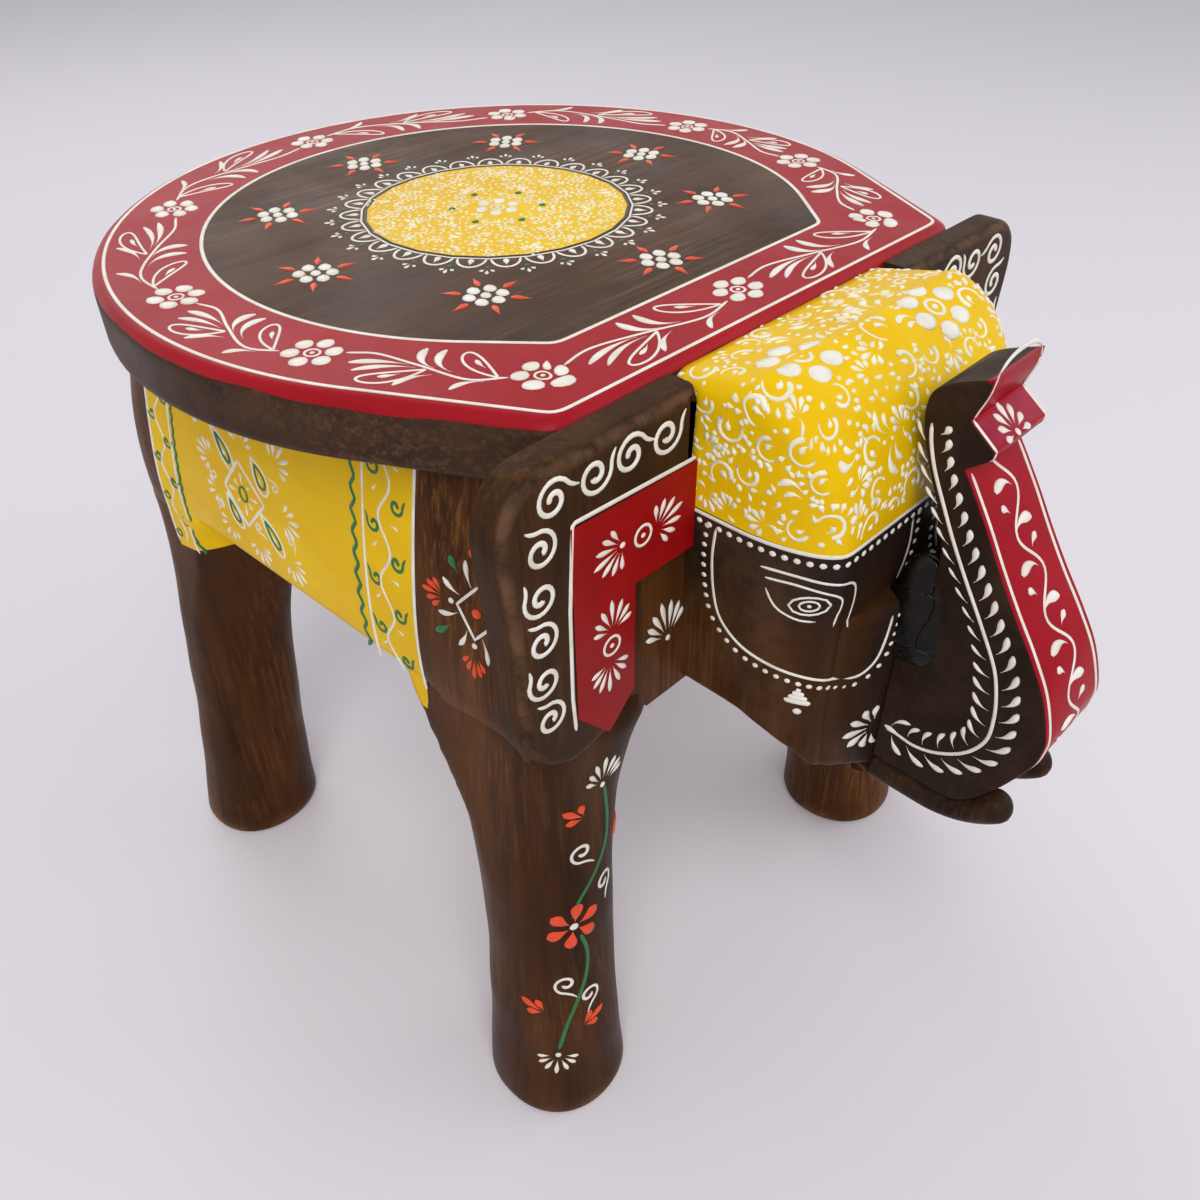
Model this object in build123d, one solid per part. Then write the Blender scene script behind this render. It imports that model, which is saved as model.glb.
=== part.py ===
from build123d import *
import os
from math import copysign, cos, pi, radians, sin, sqrt

# Carved elephant stool: a round-backed seat board on a block-built elephant.
# The elephant looks along -Y. Its own left side is +X. +Z is up, the feet
# stand on z = 0, and all sizes are in millimetres.

# ---- Seat board ----
seat_height = 323.0          # floor to the sitting surface
seat_radius = 153.0          # the round back
seat_front = 131.5           # seat centre to the straight front edge
seat_side_angle = 28.28      # the straight sides close in by this many degrees
seat_thickness = 22.0
seat_corner_round = 4.0      # plan rounding of the two front corners
seat_top_round = 5.0         # roll of the painted top edge
seat_bottom_round = 2.0

# ---- Body, carved from glued blocks ----
belly_drop = 119.0           # sitting surface down to the flat underside
bulge_rise = 20.0            # underside up to where the barrel is widest
waist_rise = 60.0
seat_overhang = 30.0         # seat's round edge beyond the barrel's widest part
belly_bottom_tuck = 1.0      # barrel narrower than its widest, on each side
belly_waist_tuck = 3.5
belly_top_tuck = 10.0
shoulder_bottom_tuck = 2.5   # the same at the front of the shoulders
shoulder_bulge_tuck = 2.0
shoulder_waist_tuck = 10.0
shoulder_top_tuck = 22.0
haunch_bottom_swell = 3.0    # haunches wider than the barrel, on each side
haunch_bulge_swell = 4.0
haunch_waist_swell = 2.0
haunch_top_tuck = 2.0
rump_bottom_inset = 26.0     # seat's round back beyond the flat of the rump
rump_bulge_inset = 24.0
rump_waist_inset = 26.0
rump_top_inset = 31.0
rump_bottom_round = 28.0     # plan rounding of the haunches, bottom to top
rump_bulge_round = 32.0
rump_waist_round = 41.0
rump_top_round = 50.0
core_inset = 77.0            # seat's round edge beyond the middle block's side
shoulder_depth = 51.5        # length of the front leg blocks
haunch_joint = 72.0          # rear legs start this far behind the centre

# ---- Legs ----
front_splay_x = 12.5         # foot beyond the leg's top
front_splay_y = 12.3
rear_splay_x = 19.0
rear_splay_y = 8.0
foot_half = 29.2             # half widths of the leg from the floor up
ankle_height = 36.0
ankle_half = 26.8
shin_share = 0.4314          # share of the leg's height
shin_half = 25.3
thigh_drop = 54.0            # below the underside of the body
thigh_half = 25.3
hip_drop = 18.0
hip_half = 26.4
leg_top_half = 27.0          # rear leg, where it meets the haunch
shoulder_half_x = 24.5       # front leg, where it meets the shoulder
shoulder_half_y = 29.2
shoulder_lead = 8.4          # front leg ahead of the seat's front edge
leg_top_rise = 13.0          # how far each leg runs on inside the body
leg_head_share = 0.98        # and how much it draws in there
leg_section_points = 16
round_power = 2.1            # 2 is a circle, more is squarer
square_power = 3.4
foot_edge_round = 2.5

# ---- Ears and chest ----
ear_thickness = 12.0
ear_top_drop = 2.0           # below the sitting surface
ear_overlap = 12.0           # fullest part of the ear beyond the shoulder
ear_top_inset = 16.0         # from there in to where the top edge starts to turn
ear_full_drop = 51.0         # sitting surface down to the fullest part
ear_tip_drop = 117.0         # lowest point of the hanging lobe
ear_tip_inset = 22.5
ear_lappet_inset = 37.0      # pointed end of the inner lappet
ear_lappet_drop = 114.0
ear_lobe_width = 49.0        # width of the hanging part
ear_inner_drop = 101.0
ear_arm_drop = 58.0          # underside of the part that runs to the head
ear_edge_round = 4.5
chest_thickness = 9.0
chest_corner_cut = 10.0

# ---- Head ----
head_half = 57.0
head_lift = 1.5              # underside above the underside of the body
head_back_drop = 3.5         # below the sitting surface
crown_rise = 5.0             # above the sitting surface
crown_reach = 28.5           # seat's front edge to the top of the crown
forehead_reach = 61.0        # seat's front edge to the flat of the forehead
brow_drop = 39.0
step_bottom_drop = 73.0      # top of the muzzle's face, where the trunk leaves it
muzzle_reach = 68.5          # seat's front edge to the face that carries the trunk
muzzle_rings = (             # back from the muzzle, half width, underside and top below the seat
    (34.0, 50.0, 116.5, 73.0),
    (14.0, 45.0, 126.0, 71.0),
    (6.5, 33.0, 137.5, 69.0),
    (0.0, 22.0, 143.5, 73.0),
)
muzzle_round = 6.0
crown_angles = (0, 24, 48, 70, 90)  # sections round the brow, in degrees
forehead_half = 44.0
head_edge_round = 8.0        # rounding of the head's long edges, back and front
forehead_round = 13.0
chin_half = 20.5
chin_depth = 26.0            # muzzle back to the root of the chin
chin_root_drop = 117.0
chin_sole = 11.5             # flat of the chin's underside, behind the muzzle's face

# ---- Trunk ----
trunk_half = 18.0
trunk_drop = 141.2           # sitting surface down to the trunk's underside
trunk_curve = 53.9           # furthest point of the curve ahead of the muzzle
trunk_curve_drop = 103.6
trunk_heel_in = 13.0         # lower front of the curve, back from its furthest point
trunk_heel_up = 10.0
trunk_tip_reach = 10.0        # ahead of the muzzle
trunk_tip_rise = 12.8        # above the sitting surface
crown_back = 7.8             # back of the curl behind the muzzle
crown_drop = 18.8            # and below the tip
neck_reach = 4.0             # hollow behind the trunk, clear of the forehead
neck_share = 0.485          # of the way from the muzzle's step up to the curl
mouth_reach = 6.5            # points of the mouth: ahead of the muzzle, below the tip
mouth_drop = 19.2
lip_reach = 15.4
lip_drop = 25.7
lip_thickness = 3.0
lip_slant = 0.6
throat_reach = 8.0
throat_drop = 34.0
throat_bow = 6.0             # how far the front swells above a straight line
trunk_edge_round = 1.6

# ---- Tusks ----
tusk_x = 14.0
tusk_radius = 6.5
tusk_tip_radius = 6.0
tusk_tip_share = 0.8         # rounding of the tip, as a share of its radius
tusk_straight = 24.0         # muzzle to where the tusk starts to turn up
tusk_bend_radius = 34.0
tusk_bend_angle = 45.0
tusk_tenon_radius = 3.5
tusk_tenon_length = 8.0

# ---- Dowels and clearances ----
dowel_radius = 5.0
dowel_clearance = 0.1        # round the dowel and at its two ends
seat_dowel_length = 30.0
seat_dowel_in_seat = 13.0
seat_dowel_inset = 61.0      # outer pairs, in from the seat's round edge
seat_dowel_ys = (-92.0, 104.0)
seat_dowel_middle_x = 45.0
joint_dowel_length = 40.0
joint_dowel_shares = (0.28, 0.74)  # heights, as shares of the block's depth
leg_dowel_ys = (-106.0, 90.0)
belly_dowel_ys = (-38.0, 30.0)
ear_dowel_length = 26.0
ear_dowel_in_ear = 7.0
ear_dowel_spots = ((33.0, 31.0), (35.0, 78.0))  # in from the fullest part, below the seat
chest_dowel_in_chest = 5.0
chest_dowel_inset = 18.0
chest_dowel_drop = 103.0
chest_dowel_radius = 3.5
head_dowel_length = 70.0
head_dowel_spots = ((-32.0, 38.0), (32.0, 38.0), (0.0, 87.0))  # sideways, below the seat
trunk_dowel_length = 44.0
trunk_dowel_drops = (127.0, 95.0)
tusk_gap = 0.7               # between each tusk and the trunk above it

# ---- Sizes that follow ----
LEFT, RIGHT = 1, -1          # the elephant's own sides, as signs of x
body_top = seat_height - seat_thickness
belly_bottom = seat_height - belly_drop
belly_depth = body_top - belly_bottom
belly_half = seat_radius - seat_overhang
core_half = seat_radius - core_inset
shoulder_joint = seat_front - shoulder_depth
front_leg_top_x = belly_half - belly_bottom_tuck - shoulder_half_x
front_leg_top_y = seat_front + shoulder_lead - shoulder_half_y
rear_leg_top_x = belly_half + haunch_bottom_swell - leg_top_half
rear_leg_top_y = seat_radius - rump_bottom_inset - leg_top_half
shin_height = belly_bottom * shin_share
thigh_height = belly_bottom - thigh_drop
hip_height = belly_bottom - hip_drop
chest_front = seat_front + chest_thickness
ear_reach = belly_half - shoulder_bulge_tuck + ear_overlap
ear_inner_half = ear_reach - ear_lobe_width
ear_tip_height = seat_height - ear_tip_drop
ear_inner_height = seat_height - ear_inner_drop
ear_arm_bottom = seat_height - ear_arm_drop
head_bottom = belly_bottom + head_lift
forehead = seat_front + forehead_reach
muzzle = seat_front + muzzle_reach
face_step_bottom = seat_height - step_bottom_drop
trunk_bottom = seat_height - trunk_drop
trunk_tip_height = seat_height + trunk_tip_rise
tusk_root_height = trunk_bottom - tusk_gap - tusk_radius


def wire_of(*edges):
    """Join edges end to end into one closed face."""
    return Face(Wire(list(edges)))


def plane_block(x_low, x_high, y_low, y_high, z_low, z_high):
    """A box between two corners."""
    size = (x_high - x_low, y_high - y_low, z_high - z_low)
    centre = ((x_low + x_high) / 2, (y_low + y_high) / 2, (z_low + z_high) / 2)
    return Pos(*centre) * Box(*size)


def side_block(side, x_inner, x_outer, y_low, y_high, z_low, z_high):
    """A box on the elephant's left or right."""
    xs = sorted((side * x_inner, side * x_outer))
    return plane_block(xs[0], xs[1], y_low, y_high, z_low, z_high)


# ---------------------------------------------------------------- seat board
def seat_board():
    """Round back, tapering sides tangent to it, straight front edge."""
    turn = radians(seat_side_angle)
    tangent_x, tangent_y = seat_radius * cos(turn), -seat_radius * sin(turn)
    corner = (seat_radius - seat_front * sin(turn)) / cos(turn)
    right = (corner, -seat_front)
    left = (-corner, -seat_front)
    outline = wire_of(
        ThreePointArc((tangent_x, tangent_y), (0, seat_radius), (-tangent_x, tangent_y)),
        Line((-tangent_x, tangent_y), left),
        Line(left, right),
        Line(right, (tangent_x, tangent_y)),
    )
    board = Pos(0, 0, body_top) * extrude(outline, seat_thickness, dir=(0, 0, 1))
    corners = board.edges().filter_by(Axis.Z).sort_by(Axis.Y)[:2]
    board = fillet(corners, seat_corner_round)
    board = fillet(board.faces().sort_by(Axis.Z)[-1].edges(), seat_top_round)
    return fillet(board.faces().sort_by(Axis.Z)[0].edges(), seat_bottom_round)


# --------------------------------------------------------------------- torso
def torso_section(height, front_half, side_half, haunch_half, back, rump_round):
    """Plan outline of the carved body at one height."""
    straight_end = back - rump_round
    flat_half = haunch_half - rump_round
    diagonal = rump_round * sqrt(0.5)
    arc_x, arc_y = flat_half + diagonal, straight_end + diagonal
    outline = wire_of(
        Line((-front_half, -seat_front), (front_half, -seat_front)),
        Line((front_half, -seat_front), (side_half, -shoulder_joint)),
        Line((side_half, -shoulder_joint), (haunch_half, straight_end)),
        ThreePointArc((haunch_half, straight_end), (arc_x, arc_y), (flat_half, back)),
        Line((flat_half, back), (-flat_half, back)),
        ThreePointArc((-flat_half, back), (-arc_x, arc_y), (-haunch_half, straight_end)),
        Line((-haunch_half, straight_end), (-side_half, -shoulder_joint)),
        Line((-side_half, -shoulder_joint), (-front_half, -seat_front)),
    )
    return Pos(0, 0, height) * outline


def torso():
    """The barrel: widest low down, drawn in under the seat."""
    bottom = torso_section(
        belly_bottom,
        belly_half - shoulder_bottom_tuck,
        belly_half - belly_bottom_tuck,
        belly_half + haunch_bottom_swell,
        seat_radius - rump_bottom_inset,
        rump_bottom_round,
    )
    bulge = torso_section(
        belly_bottom + bulge_rise,
        belly_half - shoulder_bulge_tuck,
        belly_half,
        belly_half + haunch_bulge_swell,
        seat_radius - rump_bulge_inset,
        rump_bulge_round,
    )
    waist = torso_section(
        belly_bottom + waist_rise,
        belly_half - shoulder_waist_tuck,
        belly_half - belly_waist_tuck,
        belly_half + haunch_waist_swell,
        seat_radius - rump_waist_inset,
        rump_waist_round,
    )
    top = torso_section(
        body_top,
        belly_half - shoulder_top_tuck,
        belly_half - belly_top_tuck,
        belly_half - haunch_top_tuck,
        seat_radius - rump_top_inset,
        rump_top_round,
    )
    return loft([bottom, bulge, waist, top])


def leg_section(x, y, height, half_x, half_y, power):
    """Rounded section: a circle at power 2, closer to a square as it grows."""
    points = []
    for step in range(leg_section_points):
        angle = 2 * pi * step / leg_section_points
        across_x = copysign(abs(cos(angle)) ** (2 / power), cos(angle))
        across_y = copysign(abs(sin(angle)) ** (2 / power), sin(angle))
        points.append((x + half_x * across_x, y + half_y * across_y, height))
    return Face(Wire([Spline(points, periodic=True)]))


def leg_column(foot, top, top_half_x, top_half_y, top_power):
    """A leaning leg, round and flared at the foot, squared where it meets the body."""
    hip_share = (hip_height - thigh_height) / (belly_bottom - thigh_height)
    hip_half_x = (hip_half + thigh_half + (top_half_x - thigh_half) * hip_share) / 2
    hip_half_y = (hip_half + thigh_half + (top_half_y - thigh_half) * hip_share) / 2
    stations = [
        (0.0, foot_half, foot_half, round_power),
        (ankle_height, ankle_half, ankle_half, round_power),
        (shin_height, shin_half, shin_half, round_power),
        (thigh_height, thigh_half, thigh_half, round_power),
        (hip_height, hip_half_x, hip_half_y, (round_power + top_power) / 2),
        (belly_bottom, top_half_x, top_half_y, top_power),
        (
            belly_bottom + leg_top_rise,
            top_half_x * leg_head_share,
            top_half_y * leg_head_share,
            top_power,
        ),
    ]
    sections = []
    for height, half_x, half_y, power in stations:
        share = min(height / belly_bottom, 1)
        x = foot[0] + (top[0] - foot[0]) * share
        y = foot[1] + (top[1] - foot[1]) * share
        sections.append(leg_section(x, y, height, half_x, half_y, power))
    column = loft(sections)
    return fillet(column.faces().sort_by(Axis.Z)[0].edges(), foot_edge_round)


def front_leg(side, body):
    """Leg and shoulder in one upright block, rebated for the ear."""
    far = seat_radius * 2
    column = leg_column(
        (side * (front_leg_top_x + front_splay_x), -(front_leg_top_y + front_splay_y)),
        (side * front_leg_top_x, -front_leg_top_y),
        shoulder_half_x,
        shoulder_half_y,
        square_power,
    )
    shoulder = body & side_block(
        side, core_half, far, -far, -shoulder_joint, belly_bottom, body_top
    )
    core = plane_block(-core_half, core_half, -seat_front, far, belly_bottom, body_top)
    belly = side_block(side, core_half, far, -shoulder_joint, far, belly_bottom, body_top)
    return column + shoulder - core - belly


def rear_leg(side, body):
    """Leg and haunch in one upright block."""
    far = seat_radius * 2
    column = leg_column(
        (side * (rear_leg_top_x + rear_splay_x), rear_leg_top_y + rear_splay_y),
        (side * rear_leg_top_x, rear_leg_top_y),
        leg_top_half,
        leg_top_half,
        round_power,
    )
    haunch = body & side_block(side, core_half, far, haunch_joint, far, belly_bottom, body_top)
    core = plane_block(-core_half, core_half, -far, far, belly_bottom, body_top)
    belly = side_block(side, core_half, far, -far, haunch_joint, belly_bottom, body_top)
    return column + haunch - core - belly


def belly_side(side, body):
    """The bulging cheek of the barrel between two legs."""
    return body & side_block(
        side, core_half, seat_radius * 2, -shoulder_joint, haunch_joint, belly_bottom, body_top
    )


def body_core(body):
    """The middle block that carries legs, belly cheeks, head and seat."""
    far = seat_radius * 2
    return body & plane_block(-core_half, core_half, -far, far, belly_bottom, body_top)


# ------------------------------------------------------------ ears and chest
def ear(side):
    """L-shaped ear: a top arm to the head and a hanging lobe."""
    top = seat_height - ear_top_drop
    full_height = seat_height - ear_full_drop
    turn_start = (ear_reach - ear_top_inset, top)
    tip = (ear_reach - ear_tip_inset, ear_tip_height)
    lappet = (ear_reach - ear_lappet_inset, seat_height - ear_lappet_drop)
    outline = wire_of(
        Line((head_half, top), turn_start),
        Spline(turn_start, (ear_reach, full_height), tip, tangents=[(1, 0), (-1, -0.3)]),
        Line(tip, lappet),
        Line(lappet, (ear_inner_half, ear_inner_height)),
        Line((ear_inner_half, ear_inner_height), (ear_inner_half, ear_arm_bottom)),
        Line((ear_inner_half, ear_arm_bottom), (head_half, ear_arm_bottom)),
        Line((head_half, ear_arm_bottom), (head_half, top)),
    )
    standing = Plane(origin=(0, -seat_front, 0), x_dir=(1, 0, 0), z_dir=(0, -1, 0)) * outline
    plate = extrude(standing, ear_thickness, dir=(0, -1, 0))
    front_edges = plate.faces().sort_by(Axis.Y)[0].edges()
    rolled = [
        edge
        for edge in front_edges
        if edge.center().X > tip[0] or edge.center().Z > full_height + ear_thickness
    ]
    plate = fillet(rolled, ear_edge_round)
    if side == RIGHT:
        plate = mirror(plate, about=Plane.YZ)
    return plate


def chest_plate():
    """The breast board under the ears, its lower corners cut away."""
    cut = chest_corner_cut
    low = belly_bottom
    half = ear_inner_half
    outline = wire_of(
        Line((-half + cut, low), (half - cut, low)),
        Line((half - cut, low), (half, low + cut)),
        Line((half, low + cut), (half, ear_arm_bottom)),
        Line((half, ear_arm_bottom), (-half, ear_arm_bottom)),
        Line((-half, ear_arm_bottom), (-half, low + cut)),
        Line((-half, low + cut), (-half + cut, low)),
    )
    standing = Plane(origin=(0, -seat_front, 0), x_dir=(1, 0, 0), z_dir=(0, -1, 0)) * outline
    return extrude(standing, chest_thickness, dir=(0, -1, 0))


# ---------------------------------------------------------------------- head
def across(face_yz, half_width):
    """Extrude a side profile, drawn as (y, z), to both sides of x = 0."""
    upright = Plane(origin=(0, 0, 0), x_dir=(0, 1, 0), z_dir=(1, 0, 0)) * face_yz
    return extrude(upright, half_width, dir=(1, 0, 0), both=True)


def head_section(depth, half, bottom, top, corner):
    """Upright section of the head: a rounded rectangle facing forward."""
    upright = Plane(origin=(0, -depth, (bottom + top) / 2), x_dir=(1, 0, 0), z_dir=(0, -1, 0))
    return upright * RectangleRounded(2 * half, top - bottom, corner)


def head_block():
    """Crowned head: brow and cheeks roll over to a flat forehead, with a tapering muzzle."""
    crown_y = seat_front + crown_reach
    brow = seat_height - brow_drop
    crown = seat_height + crown_rise
    back_top = seat_height - head_back_drop
    sections = [head_section(seat_front, head_half, head_bottom, back_top, head_edge_round)]
    for angle in crown_angles:
        turn = radians(angle)
        sections.append(
            head_section(
                crown_y + (forehead - crown_y) * sin(turn),
                forehead_half + (head_half - forehead_half) * cos(turn),
                head_bottom,
                brow + (crown - brow) * cos(turn),
                head_edge_round + (forehead_round - head_edge_round) * sin(turn),
            )
        )
    block = loft(sections)
    chest_notch = plane_block(
        -head_half, head_half, -chest_front, -seat_front, head_bottom, ear_arm_bottom
    )
    snout = loft(
        [
            head_section(muzzle - back, half, seat_height - low, seat_height - high, muzzle_round)
            for back, half, low, high in muzzle_rings
        ]
    )
    chin_root = (-(muzzle - chin_depth), seat_height - chin_root_drop)
    chin_bottom = tusk_root_height - tusk_radius
    sole = (-(muzzle - chin_sole), chin_bottom)
    chin_profile = wire_of(
        Spline(chin_root, sole, tangents=[(-0.5, -1), (-1, -0.8)]),
        Line(sole, (-muzzle, chin_bottom)),
        Line((-muzzle, chin_bottom), (-muzzle, chin_root[1])),
        Line((-muzzle, chin_root[1]), chin_root),
    )
    return block - chest_notch + snout + across(chin_profile, chin_half)


# --------------------------------------------------------------------- trunk
def trunk():
    """Sawn trunk: out from the jaw, up past the forehead, mouth open forward."""
    tip = (-(muzzle + trunk_tip_reach), trunk_tip_height)
    curl = (-(muzzle - crown_back), trunk_tip_height - crown_drop)
    neck_height = face_step_bottom + (curl[1] - face_step_bottom) * neck_share
    mouth = (-(muzzle + mouth_reach), trunk_tip_height - mouth_drop)
    lip = (-(muzzle + lip_reach), trunk_tip_height - lip_drop)
    lip_under = (lip[0] + lip_slant, lip[1] - lip_thickness)
    throat = (-(muzzle + throat_reach), trunk_tip_height - throat_drop)
    curve = (-(muzzle + trunk_curve), seat_height - trunk_curve_drop)
    middle = ((throat[0] + curve[0]) / 2, (throat[1] + curve[1]) / 2 + throat_bow)
    sole = (-(muzzle + trunk_curve / 2), trunk_bottom)
    profile = wire_of(
        Spline((-muzzle, face_step_bottom), (-(muzzle + neck_reach), neck_height), curl, tip),
        Spline(tip, ((tip[0] + mouth[0]) / 2 - lip_slant, (tip[1] + mouth[1]) / 2), mouth),
        Line(mouth, lip),
        Line(lip, lip_under),
        Line(lip_under, throat),
        Spline(
            throat,
            middle,
            curve,
            (curve[0] + trunk_heel_in, trunk_bottom + trunk_heel_up),
            sole,
            tangents=[(-0.62, -0.78), (1, 0)],
        ),
        Line(sole, (-muzzle, trunk_bottom)),
        Line((-muzzle, trunk_bottom), (-muzzle, face_step_bottom)),
    )
    sawn = across(profile, trunk_half)
    long_edges = [
        edge
        for flat in (sawn.faces().sort_by(Axis.X)[-1], sawn.faces().sort_by(Axis.X)[0])
        for edge in flat.edges()
        if edge.center().Y < (throat[0] - muzzle) / 2 and edge.length > 6 * trunk_edge_round
    ]
    return fillet(long_edges, trunk_edge_round)


def tusk_ring(side, angle, radius):
    """Round section of a tusk, where its bend has turned by an angle in degrees."""
    turn = radians(angle)
    y = -(muzzle + tusk_straight) - tusk_bend_radius * sin(turn)
    z = tusk_root_height + tusk_bend_radius * (1 - cos(turn))
    heading = (0, -cos(turn), sin(turn))
    return Plane(origin=(side * tusk_x, y, z), z_dir=heading, x_dir=(1, 0, 0)) * Circle(radius)


def tusk(side):
    """Short upturned tusk under the trunk, tenoned into the chin."""
    root = Plane(
        origin=(side * tusk_x, -muzzle, tusk_root_height), z_dir=(0, 1, 0), x_dir=(1, 0, 0)
    )
    bar = loft(
        [
            root * Circle(tusk_radius),
            tusk_ring(side, 0, tusk_radius),
            tusk_ring(side, tusk_bend_angle / 2, tusk_radius),
            tusk_ring(side, tusk_bend_angle, tusk_tip_radius),
        ]
    )
    tip_edge = bar.faces().sort_by(Axis.Y)[0].edges()
    bar = fillet(tip_edge, tusk_tip_radius * tusk_tip_share)
    return bar + root * Cylinder(
        tusk_tenon_radius, tusk_tenon_length, align=(Align.CENTER, Align.CENTER, Align.MIN)
    )


# -------------------------------------------------------------------- dowels
class DowelRow:
    """Dowels of one joint: the pins and the slightly larger bores for them."""

    def __init__(self, starts, direction, length, radius=dowel_radius):
        self.pins = []
        self.bores = []
        for start in starts:
            seat = Plane(origin=start, z_dir=direction)
            slack = Plane(
                origin=Vector(*start) - Vector(*direction) * dowel_clearance, z_dir=direction
            )
            stand = (Align.CENTER, Align.CENTER, Align.MIN)
            self.pins.append(seat * Cylinder(radius, length, align=stand))
            self.bores.append(
                slack
                * Cylinder(
                    radius + dowel_clearance, length + 2 * dowel_clearance, align=stand
                )
            )

    def cut(self, solid):
        """Take the bores out of a solid."""
        for bore in self.bores:
            solid = solid - bore
        return solid


def dowel_rows():
    """Every dowelled joint of the stool, by node name."""
    seat_start = body_top + seat_dowel_in_seat - seat_dowel_length
    outer_x = seat_radius - seat_dowel_inset
    seat_places = [(outer_x, y) for y in seat_dowel_ys] + [(seat_dowel_middle_x, 0.0)]
    seat_spots = [(side * x, y, seat_start) for side in (LEFT, RIGHT) for x, y in seat_places]
    joint_start = core_half - joint_dowel_length / 2
    joint_heights = [belly_bottom + belly_depth * share for share in joint_dowel_shares]
    leg_spots = [(joint_start, y, z) for y in leg_dowel_ys for z in joint_heights]
    belly_middle = sum(joint_heights) / len(joint_heights)
    belly_spots = [(joint_start, y, belly_middle) for y in belly_dowel_ys]
    ear_spots = [
        (side * (ear_reach - inset), -seat_front - ear_dowel_in_ear, seat_height - drop)
        for side in (LEFT, RIGHT)
        for inset, drop in ear_dowel_spots
    ]
    chest_x = ear_inner_half - chest_dowel_inset
    chest_start = -seat_front - chest_dowel_in_chest
    chest_spots = [(side * chest_x, chest_start, seat_height - chest_dowel_drop) for side in (LEFT, RIGHT)]
    head_start = -seat_front - head_dowel_length / 2
    head_spots = [(x, head_start, seat_height - drop) for x, drop in head_dowel_spots]
    trunk_start = -muzzle - trunk_dowel_length / 2
    trunk_spots = [(0.0, trunk_start, seat_height - drop) for drop in trunk_dowel_drops]
    return {
        "seat_dowels": DowelRow(seat_spots, (0, 0, 1), seat_dowel_length),
        "leg_dowels": paired(leg_spots, joint_dowel_length),
        "belly_dowels": paired(belly_spots, joint_dowel_length),
        "ear_dowels": DowelRow(ear_spots, (0, 1, 0), ear_dowel_length),
        "chest_dowels": DowelRow(chest_spots, (0, 1, 0), ear_dowel_length, chest_dowel_radius),
        "head_dowels": DowelRow(head_spots, (0, 1, 0), head_dowel_length),
        "trunk_dowels": DowelRow(trunk_spots, (0, 1, 0), trunk_dowel_length),
    }


def paired(spots, length):
    """Sideways dowels on both flanks of the body."""
    row = DowelRow(spots, (1, 0, 0), length)
    other = DowelRow([(-x, y, z) for x, y, z in spots], (-1, 0, 0), length)
    row.pins += other.pins
    row.bores += other.bores
    return row


# ------------------------------------------------------------------ assembly
def build():
    """All pieces of the stool, by node name, about the seat's centre."""
    body = torso()
    ears = {side: ear(side) for side in (LEFT, RIGHT)}
    tusks = {side: tusk(side) for side in (LEFT, RIGHT)}
    rows = dowel_rows()
    pieces = {
        "seat_board": seat_board(),
        "body_core": body_core(body),
        "chest_plate": chest_plate(),
        "head_block": head_block(),
        "trunk": trunk(),
    }
    for side, name in ((LEFT, "left"), (RIGHT, "right")):
        pieces["leg_front_" + name] = front_leg(side, body) - ears[side] - pieces["chest_plate"]
        pieces["leg_rear_" + name] = rear_leg(side, body)
        pieces["belly_side_" + name] = belly_side(side, body)
        pieces["ear_" + name] = ears[side]
        pieces["tusk_" + name] = tusks[side]
        tenon = Plane(
            origin=(side * tusk_x, -muzzle, tusk_root_height), z_dir=(0, 1, 0)
        ) * Cylinder(
            tusk_tenon_radius + dowel_clearance,
            tusk_tenon_length + dowel_clearance,
            align=(Align.CENTER, Align.CENTER, Align.MIN),
        )
        pieces["head_block"] = pieces["head_block"] - tenon
    for row in rows.values():
        for name in pieces:
            pieces[name] = row.cut(pieces[name])
    for name, row in rows.items():
        pieces[name] = Compound(row.pins)
    return pieces


def main():
    """Build the stool and write one STEP file per piece."""
    os.makedirs("parts", exist_ok=True)
    pieces = build()
    boxes = [piece.bounding_box() for piece in pieces.values()]
    front = min(box.min.Y for box in boxes)
    back = max(box.max.Y for box in boxes)
    to_middle = Location((0, -(front + back) / 2, 0))
    for name, piece in pieces.items():
        export_step(piece.moved(to_middle), "parts/" + name + ".step")


main()
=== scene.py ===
import logging
import math
from dataclasses import dataclass, field
from enum import Enum
from functools import cache
from typing import Callable, Iterable, Sequence

import bpy
import numpy as np
from mathutils import Matrix, Vector


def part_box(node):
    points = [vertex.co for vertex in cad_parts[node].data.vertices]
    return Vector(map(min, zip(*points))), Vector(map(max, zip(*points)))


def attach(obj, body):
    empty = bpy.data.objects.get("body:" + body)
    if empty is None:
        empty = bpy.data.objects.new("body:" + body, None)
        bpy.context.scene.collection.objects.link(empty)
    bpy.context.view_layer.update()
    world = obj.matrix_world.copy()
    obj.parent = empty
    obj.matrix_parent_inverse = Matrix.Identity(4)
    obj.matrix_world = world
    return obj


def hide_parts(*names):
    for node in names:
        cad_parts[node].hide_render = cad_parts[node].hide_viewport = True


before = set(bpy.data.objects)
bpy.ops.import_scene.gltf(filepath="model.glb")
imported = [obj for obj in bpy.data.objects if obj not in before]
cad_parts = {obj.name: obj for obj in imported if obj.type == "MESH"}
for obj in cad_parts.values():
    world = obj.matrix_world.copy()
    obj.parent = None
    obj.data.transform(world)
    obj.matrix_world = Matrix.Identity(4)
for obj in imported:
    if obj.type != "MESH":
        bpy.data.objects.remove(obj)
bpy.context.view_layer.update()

# A carved and painted elephant stool. Its wooden pieces are smooth surfaces laid over the
# solid blocks of the frame, and its ornament is raised paint laid on those surfaces.
# Sizes are in millimetres about the seat's centre: the elephant looks along -Y, +Z is up.

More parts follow.
